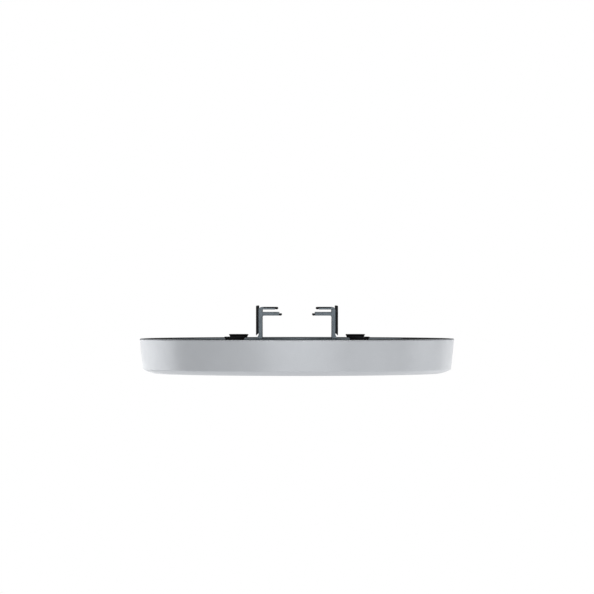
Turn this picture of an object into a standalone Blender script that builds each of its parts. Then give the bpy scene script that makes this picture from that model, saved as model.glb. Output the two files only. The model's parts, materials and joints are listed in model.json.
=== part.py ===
"""Ceiling access point that hangs from the T-rail of a suspended ceiling by a two-jaw clip.

Metres, +Z up. The origin is on the access point's axis, at the height where the rail's flange
rests in the clip: the underside of the jaws' upper lips. The rail runs along Y.

A mount plate carries the two jaws. Each jaw slides along X and is clamped by a lock screw.
The access point hangs on the plate by a bayonet: it twists about Z until its entry cuts meet
the plate's tabs, and then drops off.
"""
import math

import bmesh
import bpy
from mathutils import Matrix, Vector

OBJECT_NAME = "ceiling_access_point"
ROUND_STEPS = 60
PIN_STEPS = 16

# Play between neighbouring pieces, a hair's breadth, how far a cutting shape passes the face
# it cuts, and how far a joined shape reaches into its neighbour.
GAP = 0.0003
HAIR = 0.0001
OVERCUT = 0.0010
OVERLAP = 0.0005

# Body: the round access point.
BODY_RADIUS = 0.088
BODY_HEIGHT = 0.0194
RIM_Z = -0.0163
FACE_Z = RIM_Z - BODY_HEIGHT
WALL_FOOT_RADIUS = 0.0862
WALL_FOOT_Z = -0.0335
FACE_RADIUS = 0.080
CHAMFER_BULGE = 0.00025
WALL = 0.0022
FACE_THICKNESS = 0.0018
FOOT_RISE = 0.0019
RIM_ROUND = 0.0006

# Back housing: a turned disc with a pocket for the mount plate.
HOUSING_THICKNESS = 0.0020
SKIRT_FOOT_Z = -0.0220
SKIRT_FOOT_RADIUS = 0.0849
SKIRT_INNER_RADIUS = 0.0833
POCKET_WALL = 0.0015
POCKET_MOUTH_RADIUS = 0.0600
POCKET_RADIUS = 0.0645
POCKET_FLOOR_Z = -0.0213
POCKET_FLOOR = 0.0014
LEDGE_THICKNESS = 0.0012
GASKET_LEDGE_Z = -0.0236
GASKET_LEDGE_RADIUS = 0.0832
GASKET_LEDGE_HEIGHT = 0.0012
GASKET_LEDGE_FILLET = 0.0008

# Bayonet between the mount plate and the back housing.
PLATE_RADIUS = 0.0590
PLATE_THICKNESS = 0.0015
CABLE_HOLE_RADIUS = 0.0150
TAB_RADIUS = 0.0635
TAB_ROOT_RADIUS = 0.0520
TAB_HALF_DEGREES = 8.5
TAB_DEGREES = (90.0, 210.0, 330.0)
ENTRY_HALF_DEGREES = 10.5
ENTRY_MARGIN = 0.0004
TWIST_DEGREES = 24.0
LOBE_RADIUS = 0.0700
LOBE_HALF_WIDTH = 0.0060
LOBE_CORNER = 0.0020
LOBE_WINDOW_MARGIN = 0.0008
LOBE_WINDOW_SPARE_DEGREES = 8.0
LOBE_WINDOW_WALL = 0.0025
LOBE_WINDOW_FLOOR = 0.0021
TETHER_HOLE_RADIUS = 0.0022
TETHER_HOLE_X = -0.0650
CEILING_HOLE_RADIUS = 0.0022
CEILING_HOLE_SPREAD = 0.0350

# Clip jaws, measured outwards from the clip's middle plane.
LEG_INNER_X = 0.0194
LEG_OUTER_X = 0.0213
LEG_CORNER = 0.0017
LEG_FLARE = 0.0009
LEG_FLARE_HEIGHT = 0.0020
JAW_DEPTH = 0.050
UPPER_LIP_THICKNESS = 0.0014
UPPER_LIP_TIP_X = 0.01215
LOWER_LIP_THICKNESS = 0.0019
LOWER_LIP_TIP_X = 0.00997
LIP_FILLET = 0.0010
RAIL_SLOT = 0.00146
RAIL_SLOT_END_X = 0.01935
UPPER_BEAD_RADIUS = 0.00065
LOWER_BEAD_RADIUS = 0.00060
LOWER_BEAD_DROP = 0.0004
JAW_INWARD = 0.007
JAW_OUTWARD = 0.009
NECK_INNER_X = 0.0196
NECK_OUTER_X = 0.0211
NECK_LOW_Y = 0.014
NECK_HIGH_Y = 0.022
NECK_RISE = 0.0013

# Grip strips on the outer faces of the legs.
GRIP_GAP = 0.00015
GRIP_THICKNESS = 0.0013
GRIP_TOP_Z = 0.0022
GRIP_INNER_FOOT_Z = -0.0132
GRIP_OUTER_FOOT_Z = -0.0145
GRIP_DEPTH = 0.046

# Jaw feet and their lock screws, under the mount plate.
FOOT_THICKNESS = 0.0012
FOOT_TOP_Z = RIM_Z - PLATE_THICKNESS - GAP
FOOT_INNER_X = 0.0165
FOOT_SHOULDER_X = 0.0260
FOOT_TIP_X = 0.0470
FOOT_HALF_DEPTH = 0.024
TONGUE_HALF_DEPTH = 0.008
LOCK_SCREW_X = 0.0340
LOCK_SCREW_RADIUS = 0.0020
LOCK_HEAD_RADIUS = 0.0038
LOCK_HEAD_HEIGHT = 0.0013
LOCK_HEAD_EDGE = 0.0002
LOCK_SOCKET_RADIUS = 0.0014
LOCK_SOCKET_DEPTH = 0.0009

# Rubber pads between the back housing and the ceiling tile.
PAD_X = 0.0337
PAD_Y = 0.0720
PAD_TOP_RADIUS = 0.00575
PAD_FOOT_RADIUS = 0.00475
PAD_TOP_Z = -0.0145
PAD_POCKET_DEPTH = 0.0006

# Cable bay in the middle of the back housing, with the jack and the reset button in its wall.
BAY_HALF_WIDTH = 0.0140
BAY_LOW_Y = -0.0270
BAY_HIGH_Y = 0.0090
BAY_FLOOR_Z = -0.0322
BAY_WALL = 0.0015
BAY_FLOOR = 0.0012
JACK_MARGIN = 0.0004
JACK_HALF_WIDTH = 0.0080
JACK_LENGTH = 0.0180
JACK_TOP_Z = -0.0230
JACK_BOTTOM_Z = -0.0333
SOCKET_HALF_WIDTH = 0.00595
SOCKET_TOP_Z = -0.0246
SOCKET_BOTTOM_Z = -0.0316
SOCKET_DEPTH = 0.0125
LATCH_GROOVE_HALF_WIDTH = 0.0031
LATCH_GROOVE_HEIGHT = 0.0008
RESET_X = 0.0110
RESET_Z = -0.0280
RESET_RADIUS = 0.0015
RESET_FLANGE_RADIUS = 0.0022
RESET_FLANGE_THICKNESS = 0.0006
RESET_STEM_RADIUS = 0.0009
RESET_STEM_LENGTH = 0.0005
RESET_PROUD = 0.0008
RESET_TRAVEL = 0.0006
RESET_SWITCH_HALF_WIDTH = 0.0021
RESET_SWITCH_LENGTH = 0.0036
RESET_SWITCH_RISE = 0.0016

# Main board and what it carries.
BOARD_RADIUS = 0.0700
BOARD_TOP_Z = -0.0302
BOARD_THICKNESS = 0.0016
BOARD_MARGIN = 0.0005
ANTENNA_REACH = 0.0680
ANTENNA_THICKNESS = 0.0005
ANTENNA_DEGREES = (45.0, 135.0, 225.0, 315.0)
CAN_SHEET = 0.0003
CAN_HEIGHT = 0.0028
SPREADER_THICKNESS = 0.0012
LENS_Y = -0.0450
LENS_RADIUS = 0.0020
LENS_FLANGE = 0.0010
LENS_FLANGE_THICKNESS = 0.0004
LIGHT_SIZE = (0.0020, 0.0016, 0.0007)

# Countersunk screws from the back into the cover's bosses, and pan screws under the board.
BOSS_RADIUS = 0.0035
HOUSING_SCREW_REACH = 0.0780
HOUSING_SCREW_DEGREES = (30.0, 150.0, 270.0)
HOUSING_SCREW_RADIUS = 0.0013
HOUSING_SCREW_LENGTH = 0.0075
HOUSING_HOLE_RADIUS = 0.0016
HOUSING_HOLE_DEPTH = 0.0090
COUNTERSINK_RADIUS = 0.0034
COUNTERSINK_DEPTH = 0.0017
COUNTERSUNK_HEAD_RADIUS = 0.0030
COUNTERSUNK_HEAD_HEIGHT = 0.0015
BOARD_SCREW_REACH = 0.0600
BOARD_SCREW_DEGREES = (90.0, 210.0, 330.0)
BOARD_SCREW_RADIUS = 0.0011
BOARD_SCREW_RISE = 0.0050
BOARD_HOLE_RADIUS = 0.0016
BOARD_BOSS_HOLE_RADIUS = 0.0014
BOARD_BOSS_HOLE_DEPTH = 0.0057
PAN_HEAD_RADIUS = 0.0026
PAN_HEAD_HEIGHT = 0.0010

# What each colour, roughness and metallic value is used for.
FINISHES = {
    "satin_white": ((0.60, 0.62, 0.65), 0.38, 0.25),
    "black_plastic": ((0.012, 0.013, 0.014), 0.50, 0.0),
    "blue_grey_metal": ((0.17, 0.21, 0.24), 0.45, 0.6),
    "black_rubber": ((0.008, 0.008, 0.009), 0.80, 0.0),
    "zinc_steel": ((0.55, 0.56, 0.57), 0.35, 1.0),
    "board_green": ((0.02, 0.11, 0.06), 0.45, 0.0),
    "chip_black": ((0.02, 0.02, 0.022), 0.55, 0.0),
    "tin_can": ((0.62, 0.62, 0.60), 0.30, 1.0),
    "ferrite": ((0.05, 0.05, 0.05), 0.70, 0.0),
    "thermal_pad": ((0.35, 0.45, 0.60), 0.85, 0.0),
    "aluminium": ((0.70, 0.70, 0.72), 0.40, 1.0),
    "antenna_brass": ((0.70, 0.52, 0.22), 0.35, 1.0),
    "clear_lens": ((0.85, 0.88, 0.90), 0.15, 0.0),
    "reset_grey": ((0.25, 0.26, 0.27), 0.50, 0.0),
}


def clear_scene():
    for obj in list(bpy.data.objects):
        bpy.data.objects.remove(obj, do_unlink=True)


def make_collection(name):
    made = bpy.data.collections.new(name)
    bpy.context.scene.collection.children.link(made)
    return made


def make_finish(name):
    """A Principled material from the table of finishes."""
    colour, roughness, metallic = FINISHES[name]
    finish = bpy.data.materials.new(name)
    finish.use_nodes = True
    shader = finish.node_tree.nodes["Principled BSDF"]
    shader.inputs["Base Color"].default_value = (*colour, 1.0)
    shader.inputs["Roughness"].default_value = roughness
    shader.inputs["Metallic"].default_value = metallic
    finish.diffuse_color = (*colour, 1.0)
    return finish


def new_object(name, mesh, finish):
    """A piece when it has a finish, and a helper for a Boolean modifier when it has none."""
    obj = bpy.data.objects.new(name, mesh)
    if finish is None:
        HELPERS.objects.link(obj)
        obj.hide_render = True
        obj.display_type = "WIRE"
    else:
        mesh.materials.append(FINISH[finish])
        PARTS.objects.link(obj)
    return obj


def box(name, low, high, finish=None):
    """A box between two corners."""
    low, high = Vector(low), Vector(high)
    size = high - low
    shape = bmesh.new()
    bmesh.ops.create_cube(shape, size=1.0, matrix=Matrix.Diagonal((*size, 1.0)))
    mesh = bpy.data.meshes.new(name)
    shape.to_mesh(mesh)
    shape.free()
    obj = new_object(name, mesh, finish)
    obj.location = (low + high) / 2
    return obj


def block(name, centre, size, bottom, finish):
    """A box on the board or a like face, from its centre in plan, its size and its underside."""
    (x, y), (width, depth, height) = centre, size
    low = (x - width / 2, y - depth / 2, bottom)
    high = (x + width / 2, y + depth / 2, bottom + height)
    return box(name, low, high, finish)


def rod(name, radius, centre, length, finish=None, axis="Z", steps=PIN_STEPS, end_radius=None):
    """A cylinder or cone frustum along Z or Y. The end radius is the one at the higher end."""
    far_radius = radius if end_radius is None else end_radius
    shape = bmesh.new()
    bmesh.ops.create_cone(
        shape, cap_ends=True, segments=steps, radius1=radius, radius2=far_radius, depth=length
    )
    if axis == "Y":
        bmesh.ops.rotate(shape, verts=shape.verts, matrix=Matrix.Rotation(-math.pi / 2, 3, "X"))
    mesh = bpy.data.meshes.new(name)
    shape.to_mesh(mesh)
    shape.free()
    smooth(mesh)
    obj = new_object(name, mesh, finish)
    obj.location = centre
    return obj


def turned(name, profile, closed, finish=None, steps=ROUND_STEPS):
    """A solid of revolution about Z, from (radius, height) points that run down its outer side."""
    count = len(profile)
    edges = [(i, i + 1) for i in range(count - 1)]
    if closed:
        edges.append((count - 1, 0))
    mesh = bpy.data.meshes.new(name)
    mesh.from_pydata([(radius, 0.0, height) for radius, height in profile], edges, [])
    obj = new_object(name, mesh, finish)
    screw = obj.modifiers.new("turn", "SCREW")
    screw.steps = steps
    screw.render_steps = steps
    screw.use_merge_vertices = True
    screw.merge_threshold = 0.00001
    screw.use_smooth_shade = False
    return obj


def outline(name, loops, low, high, finish=None, plane="XY"):
    """A flat sheet between two heights (or two Y values), whose inner loops are holes."""
    curve = bpy.data.curves.new(name, "CURVE")
    curve.dimensions = "2D"
    curve.fill_mode = "BOTH"
    curve.extrude = (high - low) / 2
    for loop in loops:
        spline = curve.splines.new("POLY")
        spline.points.add(len(loop) - 1)
        for point, (x, y) in zip(spline.points, loop):
            point.co = (x, y, 0.0, 1.0)
        spline.use_cyclic_u = True
    source = bpy.data.objects.new(name + "_outline", curve)
    HELPERS.objects.link(source)
    graph = bpy.context.evaluated_depsgraph_get()
    mesh = bpy.data.meshes.new_from_object(source.evaluated_get(graph))
    mesh.name = name
    bpy.data.objects.remove(source, do_unlink=True)
    weld(mesh)
    obj = new_object(name, mesh, finish)
    middle = (low + high) / 2
    if plane == "XZ":
        obj.rotation_euler.x = math.pi / 2
        obj.location.y = middle
    else:
        obj.location.z = middle
    return obj


def weld(mesh):
    """Joins the loose caps of a filled curve and turns every face outwards."""
    shape = bmesh.new()
    shape.from_mesh(mesh)
    bmesh.ops.remove_doubles(shape, verts=shape.verts, dist=0.000001)
    bmesh.ops.recalc_face_normals(shape, faces=shape.faces)
    shape.to_mesh(mesh)
    shape.free()
    mesh.materials.clear()


def smooth(mesh):
    mesh.shade_smooth()
    mesh.set_sharp_from_angle(angle=math.radians(35.0))


def boolean(target, tool, operation):
    change = target.modifiers.new(operation.lower(), "BOOLEAN")
    change.object = tool
    change.operation = operation
    change.solver = "EXACT"


def cut(target, tool):
    boolean(target, tool, "DIFFERENCE")


def add(target, tool):
    boolean(target, tool, "UNION")


def make_empty(name, location):
    empty = bpy.data.objects.new(name, None)
    empty.empty_display_size = 0.01
    empty.location = location
    PARTS.objects.link(empty)
    return empty


def attach(pieces, empty):
    """Parents pieces to an empty and leaves them where they are."""
    for piece in pieces:
        piece.parent = empty
        piece.location -= empty.location


def polar(reach, degrees):
    angle = math.radians(degrees)
    return reach * math.cos(angle), reach * math.sin(angle)


def arc(centre, radius, start, end, steps):
    """Points along an arc, both ends included, with its angles in degrees."""
    points = []
    for i in range(steps + 1):
        x, y = polar(radius, start + (end - start) * i / steps)
        points.append((centre[0] + x, centre[1] + y))
    return points


def circle(centre, radius, steps=PIN_STEPS):
    return arc(centre, radius, 0.0, 360.0, steps)[:-1]


def rectangle(low_x, high_x, low_y, high_y):
    return [(low_x, low_y), (high_x, low_y), (high_x, high_y), (low_x, high_y)]


def sector(inner, outer, middle, half, steps=6):
    """A piece of a ring, round its middle angle."""
    outside = arc((0.0, 0.0), outer, middle - half, middle + half, steps)
    inside = arc((0.0, 0.0), inner, middle + half, middle - half, steps)
    return outside + inside


def mirrored(points, side):
    return [(side * x, y) for x, y in points]


def wall_radius(height):
    """The cover's outer radius at a height on its tapered wall."""
    share = (RIM_Z - height) / (RIM_Z - WALL_FOOT_Z)
    return BODY_RADIUS + (WALL_FOOT_RADIUS - BODY_RADIUS) * share


def chamfer_points(steps=4):
    """The slightly crowned chamfer from the foot of the wall to the flat face."""
    start = Vector((WALL_FOOT_RADIUS, WALL_FOOT_Z))
    end = Vector((FACE_RADIUS, FACE_Z))
    along = end - start
    outwards = Vector((-along.y, along.x)).normalized()
    points = []
    for i in range(steps + 1):
        share = i / steps
        point = start + along * share + outwards * CHAMFER_BULGE * 4 * share * (1 - share)
        points.append(tuple(point))
    return points


def make_front_cover():
    """The shell that shows: tapered wall, crowned chamfer and flat face."""
    floor_z = FACE_Z + FACE_THICKNESS
    ledge_foot = GASKET_LEDGE_Z - GASKET_LEDGE_HEIGHT
    inner_top = wall_radius(RIM_Z) - WALL
    inside = [
        (0.0, floor_z),
        (FACE_RADIUS, floor_z),
        (wall_radius(WALL_FOOT_Z) - WALL - GAP, WALL_FOOT_Z + FOOT_RISE),
        (wall_radius(GASKET_LEDGE_Z) - WALL, ledge_foot - GASKET_LEDGE_FILLET),
        (GASKET_LEDGE_RADIUS, ledge_foot),
        (GASKET_LEDGE_RADIUS, GASKET_LEDGE_Z),
        (wall_radius(GASKET_LEDGE_Z) - WALL, GASKET_LEDGE_Z),
        (inner_top, RIM_Z),
    ]
    rim_centre = (BODY_RADIUS - RIM_ROUND, RIM_Z - RIM_ROUND)
    outside = arc(rim_centre, RIM_ROUND, 90.0, 0.0, 3) + chamfer_points()
    cover = turned("front_cover", inside + outside + [(0.0, FACE_Z)], False, "satin_white")
    boss_top = RIM_Z - HOUSING_THICKNESS - GAP
    boss_foot = floor_z - GAP
    for number, degrees in enumerate(HOUSING_SCREW_DEGREES, 1):
        x, y = polar(HOUSING_SCREW_REACH, degrees)
        height = boss_top - boss_foot
        boss = rod(f"cover_boss_{number}", BOSS_RADIUS, (x, y, boss_foot + height / 2), height)
        add(cover, boss)
        middle = (x, y, boss_top + (OVERCUT - HOUSING_HOLE_DEPTH) / 2)
        depth = OVERCUT + HOUSING_HOLE_DEPTH
        cut(cover, rod(f"cover_boss_hole_{number}", HOUSING_HOLE_RADIUS, middle, depth))
    lens_hole = rod("lens_hole", LENS_RADIUS + GAP, (0.0, LENS_Y, FACE_Z), 4 * FACE_THICKNESS)
    cut(cover, lens_hole)
    return cover


def housing_profile():
    """The back housing's section: pocket with its ledge, flat back, skirt, and underside."""
    under_z = POCKET_FLOOR_Z - POCKET_FLOOR
    ledge_foot = RIM_Z - LEDGE_THICKNESS
    back_under = RIM_Z - HOUSING_THICKNESS
    rim_radius = wall_radius(RIM_Z) - WALL - GAP
    pocket_outer = POCKET_RADIUS + POCKET_WALL
    step_radius = LOBE_RADIUS + LOBE_WINDOW_WALL
    step_z = RIM_Z - PLATE_THICKNESS - LOBE_WINDOW_FLOOR
    return [
        (0.0, POCKET_FLOOR_Z),
        (POCKET_RADIUS, POCKET_FLOOR_Z),
        (POCKET_RADIUS, ledge_foot),
        (POCKET_MOUTH_RADIUS, ledge_foot),
        (POCKET_MOUTH_RADIUS, RIM_Z),
        (rim_radius, RIM_Z),
        (SKIRT_FOOT_RADIUS, SKIRT_FOOT_Z),
        (SKIRT_INNER_RADIUS, SKIRT_FOOT_Z),
        (SKIRT_INNER_RADIUS, back_under),
        (step_radius, back_under),
        (step_radius, step_z),
        (pocket_outer, step_z),
        (pocket_outer, under_z),
        (0.0, under_z),
    ]


def cut_bayonet(housing):
    """The three entry cuts through the ledge, and the window that the plate's lobe swings in."""
    ledge_foot = RIM_Z - LEDGE_THICKNESS
    above = RIM_Z + OVERCUT
    inner = POCKET_MOUTH_RADIUS - OVERCUT
    for number, degrees in enumerate(TAB_DEGREES, 1):
        outer = POCKET_RADIUS + ENTRY_MARGIN
        loop = sector(inner, outer, degrees - TWIST_DEGREES, ENTRY_HALF_DEGREES)
        cut(housing, outline(f"entry_cut_{number}", [loop], ledge_foot - 2 * HAIR, above))
    half_turn = TWIST_DEGREES / 2
    half = half_turn + LOBE_WINDOW_SPARE_DEGREES
    loop = sector(inner, LOBE_RADIUS + LOBE_WINDOW_MARGIN, 180.0 - half_turn, half, steps=12)
    window_foot = RIM_Z - PLATE_THICKNESS - GAP
    cut(housing, outline("lobe_window", [loop], window_foot, above))


def add_bay(housing):
    """The well that holds the cable's plug, with the jack's window and the reset hole."""
    under_z = POCKET_FLOOR_Z - POCKET_FLOOR
    low = (-BAY_HALF_WIDTH - BAY_WALL, BAY_LOW_Y - BAY_WALL, BAY_FLOOR_Z - BAY_FLOOR)
    high = (BAY_HALF_WIDTH + BAY_WALL, BAY_HIGH_Y + BAY_WALL, under_z + OVERLAP)
    add(housing, box("bay_block", low, high))
    low = (-BAY_HALF_WIDTH, BAY_LOW_Y, BAY_FLOOR_Z)
    high = (BAY_HALF_WIDTH, BAY_HIGH_Y, POCKET_FLOOR_Z + OVERCUT)
    cut(housing, box("bay_space", low, high))
    half_width = SOCKET_HALF_WIDTH + JACK_MARGIN
    window_top = SOCKET_TOP_Z + LATCH_GROOVE_HEIGHT + HAIR
    low = (-half_width, BAY_HIGH_Y - OVERCUT, SOCKET_BOTTOM_Z - GAP)
    high = (half_width, BAY_HIGH_Y + BAY_WALL + OVERCUT, window_top)
    cut(housing, box("jack_window", low, high))
    middle = (RESET_X, BAY_HIGH_Y + BAY_WALL / 2, RESET_Z)
    length = BAY_WALL + 2 * OVERCUT
    cut(housing, rod("reset_hole", RESET_RADIUS + GAP, middle, length, axis="Y"))


def make_back_housing():
    """The black disc that closes the cover and takes the mount plate in its pocket."""
    housing = turned("back_housing", housing_profile(), False, "black_plastic")
    cut_bayonet(housing)
    add_bay(housing)
    add_board_bosses(housing)
    sink_height = COUNTERSINK_DEPTH + HAIR
    for number, degrees in enumerate(HOUSING_SCREW_DEGREES, 1):
        x, y = polar(HOUSING_SCREW_REACH, degrees)
        sink = rod(
            f"countersink_{number}",
            HOUSING_HOLE_RADIUS,
            (x, y, RIM_Z + HAIR - sink_height / 2),
            sink_height,
            end_radius=COUNTERSINK_RADIUS,
        )
        cut(housing, sink)
        middle = (x, y, RIM_Z - HOUSING_THICKNESS)
        cut(housing, rod(f"housing_hole_{number}", HOUSING_HOLE_RADIUS, middle, 3 * HOUSING_THICKNESS))
    for number, (x, y) in enumerate(pad_places(), 1):
        depth = 2 * PAD_POCKET_DEPTH
        pocket = rod(f"pad_pocket_{number}", PAD_FOOT_RADIUS + 2 * GAP, (x, y, RIM_Z), depth, steps=32)
        cut(housing, pocket)
    return housing


def add_board_bosses(housing):
    """The bosses under the housing's floor that the board is screwed to."""
    low, high = BOARD_TOP_Z + GAP, POCKET_FLOOR_Z - POCKET_FLOOR + OVERLAP
    for number, degrees in enumerate(BOARD_SCREW_DEGREES, 1):
        x, y = polar(BOARD_SCREW_REACH, degrees)
        middle = (x, y, (low + high) / 2)
        add(housing, rod(f"board_boss_{number}", BOSS_RADIUS, middle, high - low))
        depth = 2 * BOARD_BOSS_HOLE_DEPTH
        cut(housing, rod(f"board_boss_hole_{number}", BOARD_BOSS_HOLE_RADIUS, (x, y, low), depth))


def pad_places():
    return [(sx * PAD_X, sy * PAD_Y) for sy in (-1, 1) for sx in (-1, 1)]


def make_tile_pads():
    pads = []
    bottom = RIM_Z - PAD_POCKET_DEPTH + GAP
    height = PAD_TOP_Z - bottom
    for number, (x, y) in enumerate(pad_places(), 1):
        pad = rod(
            f"tile_pad_{number}",
            PAD_FOOT_RADIUS,
            (x, y, bottom + height / 2),
            height,
            "black_rubber",
            steps=32,
            end_radius=PAD_TOP_RADIUS,
        )
        pads.append(pad)
    return pads


def make_gasket():
    top, bottom = SKIRT_FOOT_Z - GAP, GASKET_LEDGE_Z + GAP
    inner, outer = GASKET_LEDGE_RADIUS + GAP, SKIRT_FOOT_RADIUS - 2 * HAIR
    ring = [(inner, top), (outer, top), (outer, bottom), (inner, bottom)]
    return turned("rim_gasket", ring, True, "black_rubber")


def plate_edge():
    """The plate's circle, broken by the lobe that sticks out towards -X."""
    meet = math.degrees(math.asin(LOBE_HALF_WIDTH / PLATE_RADIUS))
    edge = arc((0.0, 0.0), PLATE_RADIUS, -180.0 + meet, 180.0 - meet, ROUND_STEPS)
    corner_x = -LOBE_RADIUS + LOBE_CORNER
    corner_y = LOBE_HALF_WIDTH - LOBE_CORNER
    edge += arc((corner_x, corner_y), LOBE_CORNER, 90.0, 180.0, 4)
    edge += arc((corner_x, -corner_y), LOBE_CORNER, 180.0, 270.0, 4)
    return edge


def make_mount_plate():
    """The steel disc that carries the jaws, with its three bayonet tabs stepped down."""
    loops = [plate_edge(), circle((0.0, 0.0), CABLE_HOLE_RADIUS, 40)]
    loops.append(circle((TETHER_HOLE_X, 0.0), TETHER_HOLE_RADIUS, 16))
    spread = CEILING_HOLE_SPREAD
    for x in (-spread, spread):
        for y in (-spread, spread):
            loops.append(circle((x, y), CEILING_HOLE_RADIUS, 16))
    for side in (-1, 1):
        loops.append(circle((side * LOCK_SCREW_X, 0.0), LOCK_SCREW_RADIUS + GAP, 16))
        ends = sorted(
            (side * (NECK_INNER_X - JAW_INWARD - GAP), side * (NECK_OUTER_X + JAW_OUTWARD + GAP))
        )
        for y_side in (-1, 1):
            near, far = sorted((y_side * (NECK_LOW_Y - GAP), y_side * (NECK_HIGH_Y + GAP)))
            loops.append(rectangle(*ends, near, far))
    under_z = RIM_Z - PLATE_THICKNESS
    plate = outline("mount_plate", loops, under_z, RIM_Z, "blue_grey_metal")
    for number, degrees in enumerate(TAB_DEGREES, 1):
        loop = sector(TAB_ROOT_RADIUS, TAB_RADIUS, degrees, TAB_HALF_DEGREES)
        top = under_z + HAIR / 2
        tab = outline(f"bayonet_tab_{number}", [loop], top - PLATE_THICKNESS, top)
        add(plate, tab)
    smooth(plate.data)
    return plate


def jaw_loop():
    """The jaw's section: lower lip, slot for the rail's flange, upper lip, leg and flared foot."""
    lower_top = -RAIL_SLOT
    lower_bottom = lower_top - LOWER_LIP_THICKNESS
    foot = RIM_Z + GAP
    fillet_centre = (LEG_INNER_X - LIP_FILLET, lower_bottom - LIP_FILLET)
    corner_centre = (LEG_OUTER_X - LEG_CORNER, UPPER_LIP_THICKNESS - LEG_CORNER)
    return [
        (LEG_INNER_X, foot),
        *arc(fillet_centre, LIP_FILLET, 0.0, 90.0, 4),
        (LOWER_LIP_TIP_X, lower_bottom),
        (LOWER_LIP_TIP_X, lower_top),
        (RAIL_SLOT_END_X, lower_top),
        (RAIL_SLOT_END_X, 0.0),
        (UPPER_LIP_TIP_X, 0.0),
        (UPPER_LIP_TIP_X, UPPER_LIP_THICKNESS),
        *arc(corner_centre, LEG_CORNER, 90.0, 0.0, 6),
        (LEG_OUTER_X, foot + LEG_FLARE_HEIGHT),
        (LEG_OUTER_X + LEG_FLARE, foot),
    ]


def grip_loop():
    """The grip strip's section: rounded top, straight sides, foot cut on a slant."""
    inner = LEG_OUTER_X + GRIP_GAP
    radius = GRIP_THICKNESS / 2
    top = arc((inner + radius, GRIP_TOP_Z - radius), radius, 0.0, 180.0, 6)
    return [(inner, GRIP_INNER_FOOT_Z), (inner + GRIP_THICKNESS, GRIP_OUTER_FOOT_Z), *top]


def foot_loops():
    """The jaw foot's plan: a wide root under the leg and a slotted tongue."""
    edge = [
        (FOOT_INNER_X, -FOOT_HALF_DEPTH),
        (FOOT_SHOULDER_X, -FOOT_HALF_DEPTH),
        (FOOT_SHOULDER_X, -TONGUE_HALF_DEPTH),
        (FOOT_TIP_X, -TONGUE_HALF_DEPTH),
        (FOOT_TIP_X, TONGUE_HALF_DEPTH),
        (FOOT_SHOULDER_X, TONGUE_HALF_DEPTH),
        (FOOT_SHOULDER_X, FOOT_HALF_DEPTH),
        (FOOT_INNER_X, FOOT_HALF_DEPTH),
    ]
    reach = LOCK_SCREW_RADIUS + GAP
    inner = (LOCK_SCREW_X - JAW_OUTWARD, 0.0)
    outer = (LOCK_SCREW_X + JAW_INWARD, 0.0)
    slot = arc(inner, reach, 90.0, 270.0, 6) + arc(outer, reach, -90.0, 90.0, 6)
    loops = [edge, slot]
    for y_side in (-1, 1):
        near, far = sorted((y_side * (NECK_LOW_Y - GAP), y_side * (NECK_HIGH_Y + GAP)))
        loops.append(rectangle(NECK_INNER_X - GAP, NECK_OUTER_X + GAP, near, far))
    return loops


def bead(name, side, radius, tip_x, height):
    """Rubber edge trim along the end of a lip."""
    middle = (side * (tip_x - GAP - radius), 0.0, height)
    return rod(name, radius, middle, JAW_DEPTH, "black_rubber", axis="Y", steps=12)


def make_jaw(word, side):
    """One jaw of the clip, with its foot, grip strip and beads, on an empty at its lock screw."""
    half = JAW_DEPTH / 2
    jaw = outline(
        f"{word}_jaw", [mirrored(jaw_loop(), side)], -half, half, "blue_grey_metal", plane="XZ"
    )
    neck_foot = FOOT_TOP_Z - FOOT_THICKNESS
    x_ends = sorted((side * NECK_INNER_X, side * NECK_OUTER_X))
    for number, y_side in enumerate((-1, 1), 1):
        near, far = sorted((y_side * NECK_LOW_Y, y_side * NECK_HIGH_Y))
        neck = box(
            f"{word}_jaw_neck_{number}",
            (x_ends[0], near, neck_foot),
            (x_ends[1], far, RIM_Z + NECK_RISE),
        )
        add(jaw, neck)
    foot = outline(
        f"{word}_jaw_foot",
        [mirrored(loop, side) for loop in foot_loops()],
        neck_foot,
        FOOT_TOP_Z,
        "zinc_steel",
    )
    grip = outline(
        f"{word}_grip_strip",
        [mirrored(grip_loop(), side)],
        -GRIP_DEPTH / 2,
        GRIP_DEPTH / 2,
        "black_plastic",
        plane="XZ",
    )
    upper = bead(
        f"{word}_upper_bead", side, UPPER_BEAD_RADIUS, UPPER_LIP_TIP_X, UPPER_LIP_THICKNESS / 2
    )
    lower_middle = -RAIL_SLOT - LOWER_LIP_THICKNESS / 2 - LOWER_BEAD_DROP
    lower = bead(f"{word}_lower_bead", side, LOWER_BEAD_RADIUS, LOWER_LIP_TIP_X, lower_middle)
    axis = make_empty(f"{word}_jaw_slide", (side * LOCK_SCREW_X, 0.0, FOOT_TOP_Z))
    attach([jaw, foot, grip, upper, lower], axis)


def make_lock_screw(word, side):
    """The screw that clamps a jaw foot against the plate, its head facing down."""
    head_top = FOOT_TOP_Z - FOOT_THICKNESS - GAP
    head_foot = head_top - LOCK_HEAD_HEIGHT
    shaft_top = RIM_Z - 2 * HAIR
    profile = [
        (0.0, shaft_top),
        (LOCK_SCREW_RADIUS, shaft_top),
        (LOCK_SCREW_RADIUS, head_top),
        (LOCK_HEAD_RADIUS, head_top),
        (LOCK_HEAD_RADIUS, head_foot + LOCK_HEAD_EDGE),
        (LOCK_HEAD_RADIUS - LOCK_HEAD_EDGE, head_foot),
        (0.0, head_foot),
    ]
    screw = turned(f"{word}_lock_screw", profile, False, "zinc_steel", steps=PIN_STEPS)
    screw.location.x = side * LOCK_SCREW_X
    socket = rod(
        f"{word}_lock_socket",
        LOCK_SOCKET_RADIUS,
        (side * LOCK_SCREW_X, 0.0, head_foot),
        2 * LOCK_SOCKET_DEPTH,
        steps=6,
    )
    cut(screw, socket)


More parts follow.
